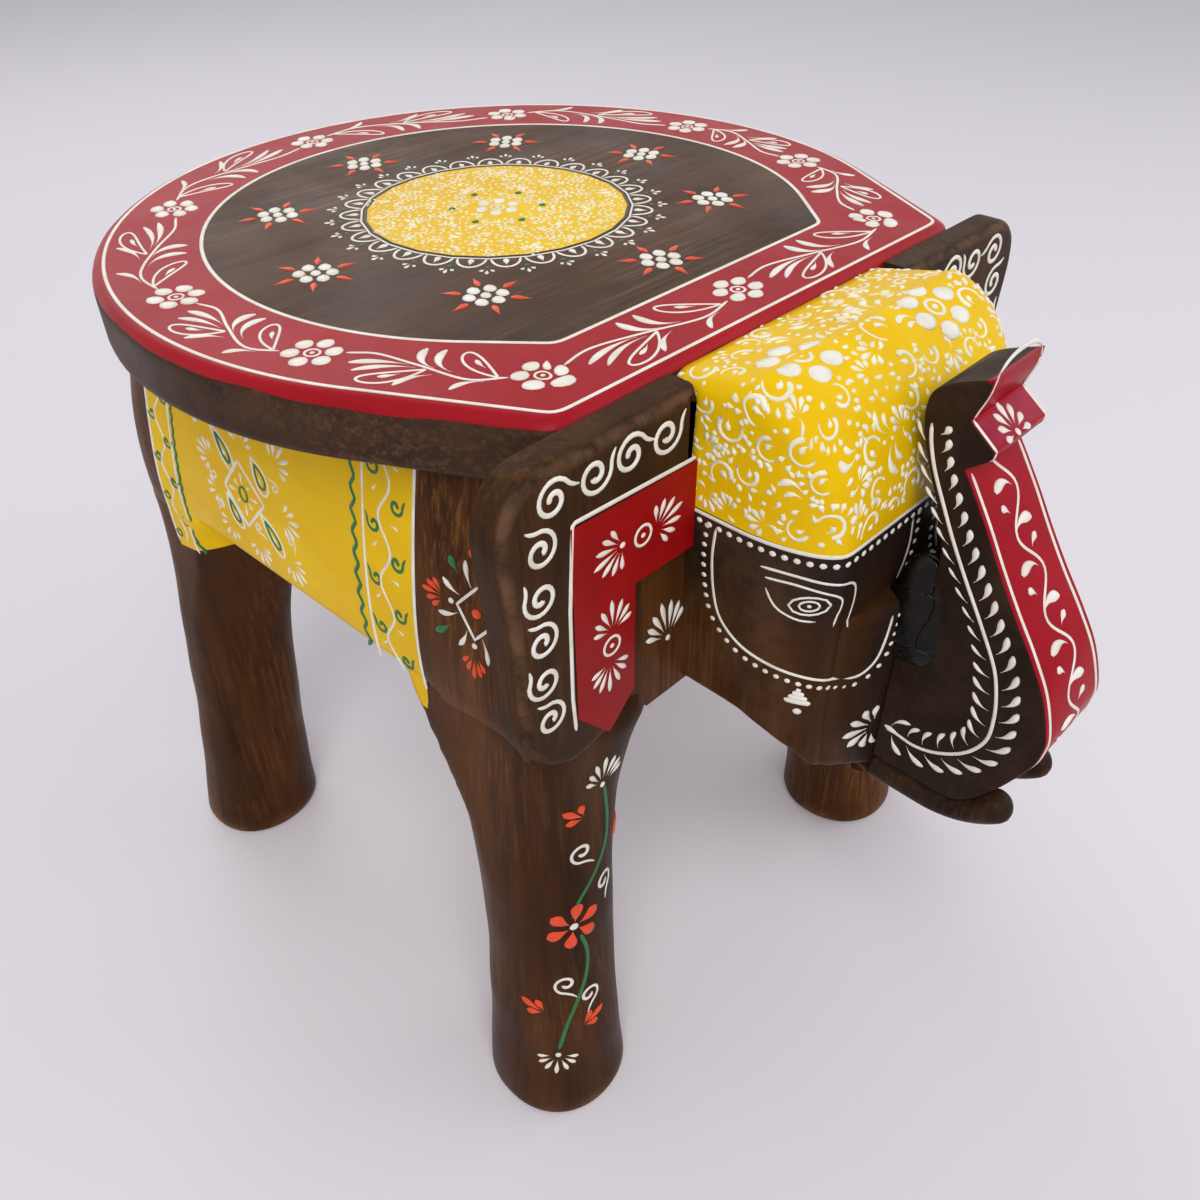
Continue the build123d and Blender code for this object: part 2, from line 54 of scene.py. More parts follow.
LOG = logging.getLogger("elephant_stool")
MM = 0.001
SEAT_LOW, SEAT_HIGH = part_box("seat_board")
SEAT_RADIUS = (SEAT_HIGH.x - SEAT_LOW.x) / 2 / MM
SEAT_TOP = SEAT_HIGH.z / MM
SEAT_UNDER = SEAT_LOW.z / MM
SEAT_FRONT = (SEAT_HIGH.y - SEAT_LOW.y) / MM - SEAT_RADIUS
MIDDLE_Y = SEAT_HIGH.y / MM - SEAT_RADIUS
BELLY_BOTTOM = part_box("body_core")[0].z / MM
SEED = 11

Array = np.ndarray
Random = np.random.Generator
Piece = bpy.types.Object
Material = bpy.types.Material
Socket = bpy.types.NodeSocket
Numbers = Sequence[float]
Points = Sequence[Sequence[float]]
Pair = tuple[float, float]
Triple = tuple[float, float, float]
Knots = tuple[Pair, ...]


class Side(Enum):
    """The elephant's own sides, as the sign of x."""

    LEFT = 1
    RIGHT = -1

    @property
    def word(self) -> str:
        """left or right, for the names of pieces."""
        return self.name.lower()


class Paint(Enum):
    """Paints of the raised ornament, as linear colours."""

    WHITE = (0.87, 0.84, 0.76)
    CREAM = (0.90, 0.87, 0.68)
    GREEN = (0.010, 0.165, 0.042)
    ORANGE = (0.82, 0.068, 0.010)
    BLACK = (0.008, 0.006, 0.006)


WHITE, CREAM, GREEN, ORANGE, BLACK = Paint


# ------------------------------------------------------------------ numbers and curves
def smooth(value: Array, low: float, high: float) -> Array:
    """Ease from 0 at low to 1 at high with level ends: t*t*(3 - 2t).

    Args:
        value: Numbers to ease.
        low: Where the result leaves 0.
        high: Where the result reaches 1.

    Returns:
        Numbers from 0 to 1.
    """
    share = np.clip((np.asarray(value, float) - low) / (high - low), 0, 1)
    return share * share * (3 - 2 * share)


def through(knots: Points, count: int) -> Array:
    """A smooth curve through points: Catmull-Rom pieces, evenly spaced in parameter.

    Args:
        knots: Points of any dimension; a point given twice makes a corner.
        count: How many points to return.

    Returns:
        Array of count points.
    """
    pts = np.asarray(knots, float)
    ends = np.vstack([2 * pts[0] - pts[1], pts, 2 * pts[-1] - pts[-2]])
    where = np.linspace(0, len(pts) - 1, count)
    index = np.minimum(where.astype(int), len(pts) - 2)
    t = (where - index)[:, None]
    a, b, c, d = (ends[index + k] for k in range(4))
    return 0.5 * (2 * b + (c - a) * t + (2 * a - 5 * b + 4 * c - d) * t**2 + (3 * b - a - 3 * c + d) * t**3)


def run_of(points: Array) -> Array:
    """Length along a line from its first point to each point."""
    return np.r_[0, np.cumsum(np.linalg.norm(np.diff(points, axis=0), axis=1))]


def evenly(points: Array, count: int) -> Array:
    """The same line with its points evenly spaced along its length.

    Args:
        points: Points of the line.
        count: How many points to return.

    Returns:
        Array of count points.
    """
    run = run_of(points)
    at = np.linspace(0, run[-1], count)
    return np.stack([np.interp(at, run, points[:, k]) for k in range(points.shape[1])], 1)


def polar(reach: float, degrees: float, x: float = 0.0, y: float = 0.0) -> Pair:
    """The place at a distance and a direction from (x, y)."""
    turn = math.radians(degrees)
    return x + reach * math.cos(turn), y + reach * math.sin(turn)


def stacked(flat: Array, levels: Array) -> Array:
    """Plan outlines (levels, points, 2) set at their levels."""
    return np.concatenate([flat, np.broadcast_to(np.asarray(levels)[:, None, None], (*flat.shape[:2], 1))], 2)


def to_frame(points: Array) -> Array:
    """Millimetres about the seat's centre to metres in the frame."""
    return (np.asarray(points, float) + np.array([0.0, MIDDLE_Y, 0.0])) * MM


# ------------------------------------------------------------------ meshes
def in_scene(name: str, data: bpy.types.ID) -> Piece:
    """A new object in the scene for a mesh, a lamp or a camera."""
    made = bpy.data.objects.new(name, data)
    bpy.context.scene.collection.objects.link(made)
    return made


def new_object(name: str, points: Array, faces: list) -> Piece:
    """Put points and faces into a mesh object, its faces turned outwards.

    The sign of the enclosed volume, the sum of the corner determinants over a fan of
    triangles, tells whether the faces point in; they are then all reversed.

    Args:
        name: The object's name.
        points: Points in millimetres about the seat's centre.
        faces: Index arrays, each of shape (faces, corners).

    Returns:
        The linked, smooth-shaded object.
    """
    place = to_frame(points.reshape(-1, 3))
    volume = 0.0
    for block in faces:
        for k in range(1, block.shape[1] - 1):
            a, b, c = place[block[:, 0]], place[block[:, k]], place[block[:, k + 1]]
            volume += float(np.einsum("ij,ij->i", a, np.cross(b, c)).sum())
    listed: list = []
    for block in faces:
        listed += (block if volume > 0 else block[:, ::-1]).tolist()
    mesh = bpy.data.meshes.new(name)
    mesh.from_pydata(place.tolist(), [], listed)
    mesh.polygons.foreach_set("use_smooth", np.ones(len(mesh.polygons), bool))
    mesh.update()
    return in_scene(name, mesh)


def grid_faces(rows: int, columns: int) -> Array:
    """Four-cornered faces of a grid whose rows are closed loops.

    Args:
        rows: Rows of points.
        columns: Points in a row.

    Returns:
        Index array of shape (faces, 4).
    """
    i = np.arange(rows - 1)[:, None] * columns
    j = np.arange(columns)[None, :]
    k = (j + 1) % columns
    return np.stack([i + j, i + k, i + columns + k, i + columns + j]).reshape(4, -1).T


def tube_object(name: str, grid: Array) -> Piece:
    """A closed piece from a grid of loops, its first and last loop drawn to a middle point.

    Args:
        name: The object's name.
        grid: Array (rows, columns, 3) whose rows are closed loops.

    Returns:
        The object.
    """
    rows, columns = grid.shape[:2]
    ends = np.stack([grid[0].mean(0), grid[-1].mean(0)])
    points = np.vstack([grid.reshape(-1, 3), ends])
    j = np.arange(columns)
    k = (j + 1) % columns
    low = np.stack([np.full(columns, rows * columns), k, j], 1)
    last = (rows - 1) * columns
    high = np.stack([np.full(columns, rows * columns + 1), last + j, last + k], 1)
    return new_object(name, points, [grid_faces(rows, columns), low, high])


def store(made: Piece, name: str, values: Array) -> None:
    """Keep one number per point on a mesh for its material; the two end points get the mean.

    Args:
        made: Object whose mesh gets the attribute.
        name: Name of the attribute.
        values: Numbers for the grid's points.
    """
    flat = np.asarray(values, np.float32).ravel()
    spare = len(made.data.vertices) - len(flat)
    if spare == 2:
        columns = values.shape[1]
        flat = np.r_[flat, flat[:columns].mean(), flat[-columns:].mean()]
    layer = made.data.attributes.new(name, "FLOAT", "POINT")
    layer.data.foreach_set("value", flat.astype(np.float32))


def carved(grid: Array, depth: float, seed: int, scale: float = 0.045) -> Array:
    """Tool marks: push a closed grid in and out by a sum of slow sine waves.

    Args:
        grid: Array (rows, columns, 3).
        depth: Greatest push in millimetres.
        seed: Seed of the waves' directions and phases.
        scale: Waves' turns per millimetre.

    Returns:
        The pushed grid.
    """
    rng = np.random.default_rng(seed)
    push = np.zeros(grid.shape[:2])
    for _ in range(7):
        way = rng.normal(size=3) * scale * 2
        push += np.sin(grid @ way + rng.uniform(0, 2 * math.pi))
    across = np.roll(grid, -1, 1) - np.roll(grid, 1, 1)
    along = np.gradient(grid, axis=0)
    normal = np.cross(across, along)
    normal /= np.linalg.norm(normal, axis=2, keepdims=True) + 1e-9
    return grid + normal * (push / 7 * depth * 1.6)[..., None]


# ------------------------------------------------------------------ faces to paint on
class Face:
    """A surface that is painted on: pattern millimetres (p, q) to points in space."""

    step = 0.25

    def point(self, p: Array, q: Array) -> Array:
        """Point of the surface at (p, q)."""
        raise NotImplementedError

    def lift(self, p: Array, q: Array, height: Array) -> Array:
        """Point at a height above the surface, along its normal.

        The normal is the cross product of the surface's two differences, turned to the
        side of `outward`.

        Args:
            p: First pattern coordinate.
            q: Second pattern coordinate.
            height: Height above the surface in millimetres.

        Returns:
            Points (..., 3).
        """
        s = self.step
        here = self.point(p, q)
        along = self.point(p + s, q) - self.point(p - s, q)
        normal = np.cross(along, self.point(p, q + s) - self.point(p, q - s))
        normal /= np.linalg.norm(normal, axis=-1, keepdims=True) + 1e-12
        facing = np.sign((normal * self.outward(here)).sum(-1, keepdims=True))
        return here + normal * facing * height[..., None]

    def outward(self, here: Array) -> Array:
        """A rough outward direction at each point."""
        raise NotImplementedError


class FlatFace(Face):
    """A plane with named axes."""

    def __init__(self, origin: Numbers, p_axis: Numbers, q_axis: Numbers, out: Numbers) -> None:
        self.origin, self.p_axis, self.q_axis, self.out = np.array((origin, p_axis, q_axis, out), float)

    def point(self, p: Array, q: Array) -> Array:
        """origin + p * p_axis + q * q_axis."""
        return self.origin + np.multiply.outer(p, self.p_axis) + np.multiply.outer(q, self.q_axis)

    def outward(self, here: Array) -> Array:
        """The plane's own outward direction."""
        return self.out


class RibbonFace(Face):
    """A band along a line that lies in another face: p runs along, q across to its left."""

    def __init__(self, base: Face, path: Array, closed: bool = False) -> None:
        self.base = base
        self.line = evenly(path, 600)
        self.run = run_of(self.line)
        self.length = float(self.run[-1])
        self.closed = closed
        way = np.gradient(self.line, axis=0)
        if closed:
            way[0] = way[-1] = self.line[1] - self.line[-2]
        for _ in range(6):
            inner = (way[:-2] + way[1:-1] + way[2:]) / 3
            way = np.vstack([way[:1], inner, way[-1:]])
        way /= np.linalg.norm(way, axis=1, keepdims=True)
        self.left = np.stack([-way[:, 1], way[:, 0]], 1)

    def flat(self, p: Array, q: Array) -> tuple[Array, Array]:
        """Line point at length p plus q times the line's left-hand normal.

        Args:
            p: Length along the line.
            q: Distance to its left.

        Returns:
            Both coordinates in the base face.
        """
        at = np.mod(p, self.length) if self.closed else p
        x = np.interp(at, self.run, self.line[:, 0]) + q * np.interp(at, self.run, self.left[:, 0])
        y = np.interp(at, self.run, self.line[:, 1]) + q * np.interp(at, self.run, self.left[:, 1])
        return x, y

    def point(self, p: Array, q: Array) -> Array:
        """The base face's point at the ribbon's flat place."""
        return self.base.point(*self.flat(p, q))

    def outward(self, here: Array) -> Array:
        """As the base face says."""
        return self.base.outward(here)


# ------------------------------------------------------------------ brush strokes
@dataclass
class Stroke:
    """One touch of thick paint: a line in pattern millimetres and its half width along it."""

    path: Array
    half: Array


Strokes = list[Stroke]
LINE_POINTS_PER_MM = 0.55
# Raised paint is at most this high, and its edges reach this far below the face, in millimetres.
PAINT_TALLEST = 0.75
PAINT_SINK = 0.25


def between(a: Numbers, b: Numbers, share: float) -> Array:
    """The place at a share of the way from a to b."""
    return np.asarray(a) * (1 - share) + np.asarray(b) * share


def turned(strokes: Strokes, x: float, y: float, degrees: float = 0.0, scale: float = 1.0,
           flip: bool = False) -> Strokes:
    """Strokes turned about the origin, scaled, mirrored and then moved.

    Args:
        strokes: Strokes about the origin.
        x: Where the origin goes, first coordinate.
        y: Where the origin goes, second coordinate.
        degrees: Turn, anticlockwise.
        scale: Size factor.
        flip: Whether to mirror across the first axis before the turn.

    Returns:
        New strokes.
    """
    a = math.radians(degrees)
    turn = np.array([[math.cos(a), math.sin(a)], [-math.sin(a), math.cos(a)]])
    mirror = np.array([1.0, -1.0 if flip else 1.0])
    return [Stroke((s.path * mirror * scale) @ turn + (x, y), s.half * scale) for s in strokes]


def dot(radius: float, x: float = 0.0, y: float = 0.0) -> Strokes:
    """A round dot: half width is the circle's chord, radius times the sine of the angle."""
    t = np.linspace(0.02, math.pi - 0.02, 7)
    path = np.stack([x - radius * np.cos(t), np.full(7, y)], 1)
    return [Stroke(path, radius * np.sin(t))]


def drop(length: float, width: float, start: float = 0.0) -> Strokes:
    """A teardrop from its tail at start to its round head, wide as a skewed sine arch.

    Args:
        length: Length.
        width: Width of the head.
        start: Where the tail starts, on the first axis.

    Returns:
        One stroke.
    """
    t = np.linspace(0, 1, 9)
    half = width / 2 * (np.sin(math.pi * np.clip(t, 0.004, 0.996) ** 1.9)) ** 0.7
    path = np.stack([start + length * t, np.zeros(9)], 1)
    return [Stroke(path, np.maximum(half, 0.12 + 0.10 * width * t * (1 - t)))]


def comma(length: float, width: float, bend: float) -> Strokes:
    """A bent teardrop with its head at the origin; the heading turns by bend degrees.

    Args:
        length: Length along the bend.
        width: Width of the head.
        bend: Turn from head to tail in degrees, positive to the left.

    Returns:
        One stroke.
    """
    t = np.linspace(0, 1, 11)
    heading = np.radians(bend) * (t**1.3)
    steps = np.stack([np.cos(heading), np.sin(heading)], 1) * length / 10
    path = np.vstack([[0, 0], np.cumsum(steps[:-1], 0)])
    half = width / 2 * np.sin(math.pi * np.clip((1 - t), 0.004, 0.997) ** 2.2) ** 0.65
    return [Stroke(path, np.maximum(half, width * 0.15 * (1 - t) + 0.12))]


def curl(radius: float, turns: float, width: float, tail: float = 0.0) -> Strokes:
    """A spiral from its middle outwards, then a tail that leaves it along the tangent.

    Args:
        radius: Outer radius.
        turns: Number of turns.
        width: Width of the paint line.
        tail: Length of the tail.

    Returns:
        One stroke.
    """
    t = np.linspace(0, 1, 30)
    angle = turns * 2 * math.pi * t
    reach = radius * (0.16 + 0.84 * t)
    path = np.stack([reach * np.cos(angle), reach * np.sin(angle)], 1)
    if tail:
        way = path[-1] - path[-2]
        way /= np.linalg.norm(way)
        side = np.array([way[1], -way[0]])
        s = np.linspace(0.12, 1, 8)[:, None]
        path = np.vstack([path, path[-1] + way * tail * s + side * tail * 0.35 * s**2])
    full = np.linspace(0, 1, len(path))
    half = width / 2 * (1.0 - 0.35 * full) * np.minimum(1, 0.45 + 6 * (1 - full))
    half[0] *= 0.6
    return [Stroke(path, half)]


def line(points: Points | Array, width: float, curved: bool = True, closed: bool = False) -> Strokes:
    """A drawn line of even width, through points by Catmull-Rom or straight between them.

    Args:
        points: Points of the line.
        width: Width of the line.
        curved: Whether it bends smoothly through the points.
        closed: Whether it ends where it starts.

    Returns:
        One stroke.
    """
    pts = np.asarray(points, float)
    dense = through(pts, 24 * len(pts)) if curved else pts
    length = run_of(dense)[-1]
    count = 12 * max(1, round(length * LINE_POINTS_PER_MM / 12)) + 1
    path = evenly(dense, count)
    half = np.full(count, width / 2)
    if not closed:
        half[0] *= 0.45
        half[-1] *= 0.45
    return [Stroke(path, half)]


def ring(radius: float, width: float, x: float = 0.0, y: float = 0.0, squash: float = 1.0) -> Strokes:
    """A drawn circle, or an ellipse when squashed in its second coordinate."""
    t = np.linspace(0, 2 * math.pi, 25)
    path = np.stack([x + radius * np.cos(t), y + radius * squash * np.sin(t)], 1)
    return [Stroke(path, np.full(25, width / 2))]


def fan(count: int, length: float, spread: float, width: float = 1.7, base: float = 2.2,
        bud: float = 0.0) -> Strokes:
    """Drops spreading from a point, the middle one longest, above an optional dot.

    Args:
        count: Number of drops.
        length: Reach of the middle drop.
        spread: Angle between the outermost drops in degrees.
        width: Width of a drop's head.
        base: Distance of the drops' tails from the point.
        bud: Radius of the dot at the point, none if 0.

    Returns:
        The drops, pointing along the first axis.
    """
    made: Strokes = []
    for angle in np.linspace(-spread / 2, spread / 2, count):
        share = 1 - 0.38 * abs(angle) / (spread / 2)
        made += turned(drop((length - base) * share, width, base), 0, 0, angle)
    if bud:
        made += dot(bud)
    return made


def petals(reach: float, radius: float) -> Strokes:
    """Six round dots evenly set on a circle."""
    return sum((dot(radius, *polar(reach, 60 * k + 30)) for k in range(6)), [])


def flower(reach: float, radius: float) -> Strokes:
    """Six round petals about a ring with a dot in it."""
    return petals(reach, radius) + ring(reach * 0.36, reach * 0.16) + dot(reach * 0.13)


def touch(tail: Numbers, head: Numbers, width: float, bow: float = 0.0) -> Strokes:
    """A brush touch from a thin tail to a round head, bowed aside by a share of its length.

    Args:
        tail: Where it starts thin.
        head: Where it ends round.
        width: Width of the head.
        bow: Sideways swell as a share of the length, to the left of the way.

    Returns:
        One stroke.
    """
    t = np.linspace(0, 1, 11)[:, None]
    a, way = np.asarray(tail, float), np.subtract(head, tail).astype(float)
    side = np.array([-way[1], way[0]])
    path = a + way * t + side * bow * 4 * t * (1 - t)
    share = np.clip(t[:, 0], 0.004, 0.997)
    half = width / 2 * np.sin(math.pi * share**2.2) ** 0.65
    return [Stroke(path, np.maximum(half, width * 0.12 * share + 0.12))]


def paisley(tail: Numbers, tip: Numbers, width: float, line_width: float,
            bow: float = 0.0, size: float = 1.0) -> Strokes:
    """A closed drop outline, pointed at its tail and round at its tip.

    Along it runs as (1 - cos t) / 2 and across as sin t times a power of sin(t / 2).

    Args:
        tail: Pointed end.
        tip: Round end.
        width: Greatest width.
        line_width: Width of the paint line.
        bow: Sideways swell as a share of the length.
        size: Shrink about the middle, for a line inside another.

    Returns:
        One stroke.
    """
    t = np.linspace(0, 2 * math.pi, 33)
    a, way = np.asarray(tail, float), np.subtract(tip, tail).astype(float)
    long = float(np.linalg.norm(way))
    side = np.array([-way[1], way[0]]) / long
    s = 0.55 + ((1 - np.cos(t)) / 2 - 0.55) * size
    across = width / 2 * size * np.sin(t) * np.sin(t / 2) ** 0.9 + bow * long * 4 * s * (1 - s)
    path = a + np.outer(s, way) + np.outer(across, side)
    return [Stroke(path, np.full(33, line_width / 2))]


def scroll(radius: float, width: float, rays: int) -> Strokes:
    """A C-shaped curl with a round head, a touch inside it and short drops round its back.

    Args:
        radius: Radius of the arc.
        width: Width of its line.
        rays: Number of drops round its back.

    Returns:
        The strokes.
    """
    t = np.linspace(0, 1, 14)
    angle = math.radians(235) * t
    reach = radius * (1 - 0.34 * t**2)
    path = np.stack([reach * np.cos(angle), reach * np.sin(angle)], 1)
    half = width / 2 * (0.55 + 0.75 * t**2) * np.minimum(1, 0.5 + 7 * (1 - t))
    made: Strokes = [Stroke(path, half)]
    made += touch((radius * 0.10, -radius * 0.45), (-radius * 0.02, radius * 0.28), width * 1.25, 0.2)
    for a in np.linspace(35, 35 + 26 * (rays - 1), rays):
        made += turned(drop(radius * 0.62, width * 1.15, radius * 1.26), 0, 0, a)
    return made


def sprinkle(count: int, inside: Callable[[Array], Array], box: Numbers, gap: float, rng: Random,
             taken: Array) -> Array:
    """Scattered places that keep apart: random darts, each kept if it is clear of those before.

    Args:
        count: Darts thrown.
        inside: Says which points are in the region.
        box: Lowest and highest p and q.
        gap: Least distance between places.
        rng: Random source.
        taken: Places (x, y, clear radius) already used.

    Returns:
        Array of places.
    """
    low, high = np.array(box[:2]), np.array(box[2:])
    darts = rng.uniform(low, high, (count, 2))
    darts = darts[inside(darts)]
    apart = np.linalg.norm(darts[:, None] - taken[None, :, :2], axis=2)
    darts = darts[(apart > taken[None, :, 2]).all(1)]
    kept = np.zeros((0, 2))
    for dart in darts:
        if not len(kept) or np.linalg.norm(kept - dart, axis=1).min() > gap:
            kept = np.vstack([kept, dart])
    return kept


def paint_object(name: str, face: Face, strokes: Strokes, rise: float) -> Piece:
    """Raised paint: every stroke swept with a flattened half-round section over a face.

    Across a stroke the height is rise times the half width times the root of one minus the
    square of the share of the half width; its edges and underside sink into the face.

    Args:
        name: Name of the piece.
        face: Face it is painted on.
        strokes: The strokes.
        rise: Height as a share of the half width.

    Returns:
        The object.
    """
    across = np.array([-1.0, -0.72, 0.0, 0.72, 1.0])
    crown = np.sqrt(np.maximum(1 - across**2, 0))
    wide = len(across)
    points, faces, start = [], [], 0
    for count in sorted({len(s.half) for s in strokes}):
        group = [s for s in strokes if len(s.half) == count]
        path = np.stack([s.path for s in group])
        half = np.stack([s.half for s in group])
        way = np.gradient(path, axis=1)
        way /= np.linalg.norm(way, axis=2, keepdims=True) + 1e-9
        side = np.stack([-way[..., 1], way[..., 0]], -1)
        flat = path[:, :, None] + side[:, :, None] * (half[..., None] * across)[..., None]
        top = np.minimum(rise * half, PAINT_TALLEST)
        height = (top + PAINT_SINK)[..., None] * crown - PAINT_SINK
        place = face.lift(flat[..., 0], flat[..., 1], height)
        points.append(place.reshape(-1, 3))
        one = grid_faces(count, wide)
        shift = start + np.arange(len(group))[:, None, None] * count * wide
        faces.append((one[None] + shift).reshape(-1, 4))
        head = np.arange(wide)[None] + shift[:, 0]
        faces.append(head)
        faces.append(head[:, ::-1] + (count - 1) * wide)
        start += len(group) * count * wide
    return new_object(name, np.vstack(points), faces)


# ------------------------------------------------------------------ finishes
class Nodes:
    """A node tree being built."""

    def __init__(self, tree: bpy.types.NodeTree) -> None:
        self.tree = tree
        tree.nodes.clear()

    def node(self, kind: str, inputs: dict | None = None, **settings: str) -> bpy.types.Node:
        """Add a node.

        Args:
            kind: Its type, without the prefix that all shader nodes share.
            inputs: Sockets to link and values to set, by the input's name or number.
            settings: Its other settings.

        Returns:
            The node.
        """
        made = self.tree.nodes.new("ShaderNode" + kind)
        for key, value in settings.items():
            setattr(made, key, value)
        self.put(made, inputs or {})
        return made

    def put(self, node: bpy.types.Node, inputs: dict) -> None:
        """Link sockets to a node's inputs or set their values; a colour comes without its alpha.

        Args:
            node: The node.
            inputs: Sockets and values by the input's name or number.
        """
        for key, value in inputs.items():
            socket = node.inputs[key]
            if isinstance(value, Socket):
                self.tree.links.new(value, socket)
            else:
                socket.default_value = (*value, 1.0) if socket.type == "RGBA" else value

    def math(self, kind: str, a: object, b: object) -> Socket:
        """The sum, product or other result of two numbers."""
        return self.node("Math", {0: a, 1: b}, operation=kind).outputs[0]


class Shader(Nodes):
    """A material's node tree, with short calls for the nodes that finishes need."""

    def __init__(self, name: str) -> None:
        self.material = bpy.data.materials.new(name)
        self.material.use_nodes = True
        super().__init__(self.material.node_tree)
        self.surface = self.node("BsdfPrincipled")
        self.node("OutputMaterial", {"Surface": self.surface.outputs[0]})
        self.place = self.node("TexCoord").outputs["Object"]

    def set(self, inputs: dict) -> None:
        """Link or set inputs of the surface."""
        self.put(self.surface, inputs)

    def noise(self, scale: float, detail: float = 4.0, rough: float = 0.55, stretch: Numbers = (1, 1, 1),
              warp: float = 0.0) -> Socket:
        """Noise over object coordinates, stretched by a scale per axis."""
        mapping = self.node("Mapping", {"Vector": self.place, "Scale": tuple(stretch)})
        inputs = {"Scale": scale, "Detail": detail, "Roughness": rough, "Distortion": warp}
        return self.node("TexNoise", {"Vector": mapping.outputs[0], **inputs}).outputs["Fac"]

    def ramp(self, value: Socket, low: float, high: float, start: float = 0.0, end: float = 1.0) -> Socket:
        """Map a value from a range to another, clamped."""
        inputs = {"Value": value, "From Min": low, "From Max": high, "To Min": start, "To Max": end}
        return self.node("MapRange", inputs).outputs[0]

    def mix(self, share: object, a: object, b: object) -> Socket:
        """Mix two colours by a share."""
        return self.node("Mix", {0: share, 6: a, 7: b}, data_type="RGBA").outputs[2]

    def attribute(self, name: str) -> Socket:
        """A number stored on the mesh's points."""
        return self.node("Attribute", attribute_name=name).outputs["Fac"]

    def bump(self, height: Socket, strength: float, distance: float) -> None:
        """Bump on the surface's normal; a second call stacks on the first.

        Args:
            height: Socket of the height.
            strength: Strength.
            distance: Height in metres of a step of 1.
        """
        made = self.node("Bump", {"Strength": strength, "Distance": distance, "Height": height})
        for link in self.surface.inputs["Normal"].links:
            self.put(made, {"Normal": link.from_socket})
        self.set({"Normal": made.outputs[0]})


@dataclass(frozen=True)
class LacqueredWood:
    """Dark stained hardwood under a thin uneven lacquer, rubbed lighter where the mesh is worn."""

    dark: Triple = (0.024, 0.0086, 0.0030)
    middle: Triple = (0.104, 0.036, 0.0085)
    light: Triple = (0.245, 0.096, 0.024)
    worn: Triple = (0.21, 0.105, 0.05)
    stained: Triple = (0.013, 0.0095, 0.0085)
    grain: Triple = (1.0, 1.0, 0.10)
    roughness: float = 0.42
    coat: float = 0.02
    specular: float = 0.055

    def streaks(self, shader: Shader) -> Socket:
        """Fine noise drawn out along the grain."""
        return shader.noise(90.0, 5.0, 0.7, tuple(2.2 * g if g < 1 else 5.0 for g in self.grain))

    def colour(self, shader: Shader) -> Socket:
        """Colour: broad clouds, long figure, fine streaks, dark pores, stain and wear.

        Args:
            shader: Shader being built.

        Returns:
            Colour socket.
        """
        clouds = shader.noise(11.0, 3.0, 0.5)
        figure = shader.noise(38.0, 6.0, 0.62, self.grain, 0.7)
        pores = shader.ramp(shader.noise(260.0, 2.0, 0.5, self.grain), 0.60, 0.72)
        bright = shader.ramp(self.streaks(shader), 0.48, 0.78)
        body = shader.mix(shader.ramp(figure, 0.30, 0.66), self.dark, self.middle)
        body = shader.mix(shader.math("MULTIPLY", bright, shader.ramp(clouds, 0.42, 0.66)), body, self.light)
        body = shader.mix(shader.ramp(clouds, 0.30, 0.60, 0.45, 0.0), body, self.dark)
        body = shader.mix(shader.math("MULTIPLY", pores, 0.55), body, self.dark)
        body = shader.mix(shader.attribute("stain"), body, self.stained)
        rubbed = shader.ramp(shader.noise(46.0, 6.0, 0.7), 0.42, 0.62)
        return shader.mix(shader.math("MULTIPLY", shader.attribute("wear"), rubbed), body, self.worn)

    def finish(self, shader: Shader) -> Socket:
        """Coat and grain relief on the surface.

        Args:
            shader: Shader being built.

        Returns:
            Socket of the roughness, for coats of paint.
        """
        wet = shader.noise(24.0, 4.0, 0.6)
        rough = shader.ramp(wet, 0.3, 0.7, self.roughness - 0.09, self.roughness + 0.13)
        shader.set({"Roughness": rough, "Specular IOR Level": self.specular, "Coat Weight": self.coat,
                    "Coat Roughness": 0.16})
        shader.bump(self.streaks(shader), 0.22, 0.0005)
        shader.bump(shader.noise(26.0, 3.0, 0.5), 0.25, 0.0014)
        return rough


@dataclass(frozen=True)
class Enamel:
    """Brushed enamel over the wood: its colour and a deeper shade in the brush marks."""

    colour: Triple
    deep: Triple
    brush: Triple = (1.0, 0.25, 1.0)

    def shade(self, shader: Shader) -> Socket:
        """Colour socket with brush streaks and slow clouds.

        Args:
            shader: Shader being built.

        Returns:
            Colour socket.
        """
        streak = shader.noise(70.0, 4.0, 0.6, self.brush)
        cloud = shader.noise(16.0, 3.0, 0.5)
        mixed = shader.mix(shader.ramp(streak, 0.35, 0.70, 0.0, 0.55), self.colour, self.deep)
        return shader.mix(shader.ramp(cloud, 0.40, 0.70, 0.0, 0.6), mixed, self.deep)

    def relief(self, shader: Shader) -> None:
        """Brush marks that can be felt."""
        shader.bump(shader.noise(60.0, 4.0, 0.6, (1.0, 0.3, 1.0)), 0.18, 0.0006)


YELLOW = Enamel((0.88, 0.57, 0.004), (0.76, 0.43, 0.002))
RED = Enamel((0.37, 0.009, 0.017), (0.28, 0.005, 0.010))
SCARLET = Enamel((0.33, 0.003, 0.003), (0.22, 0.002, 0.002))
CRIMSON = Enamel((0.37, 0.002, 0.013), (0.28, 0.001, 0.008))
# Pink of the trunk's lip: partly its paint, partly painted sheen over the crimson; the even speckle stands
# for a sparkling painted highlight.
ROSE_AND_SHEEN = Enamel((0.34, 0.018, 0.050), (0.24, 0.008, 0.024), (3.0, 3.0, 3.0))


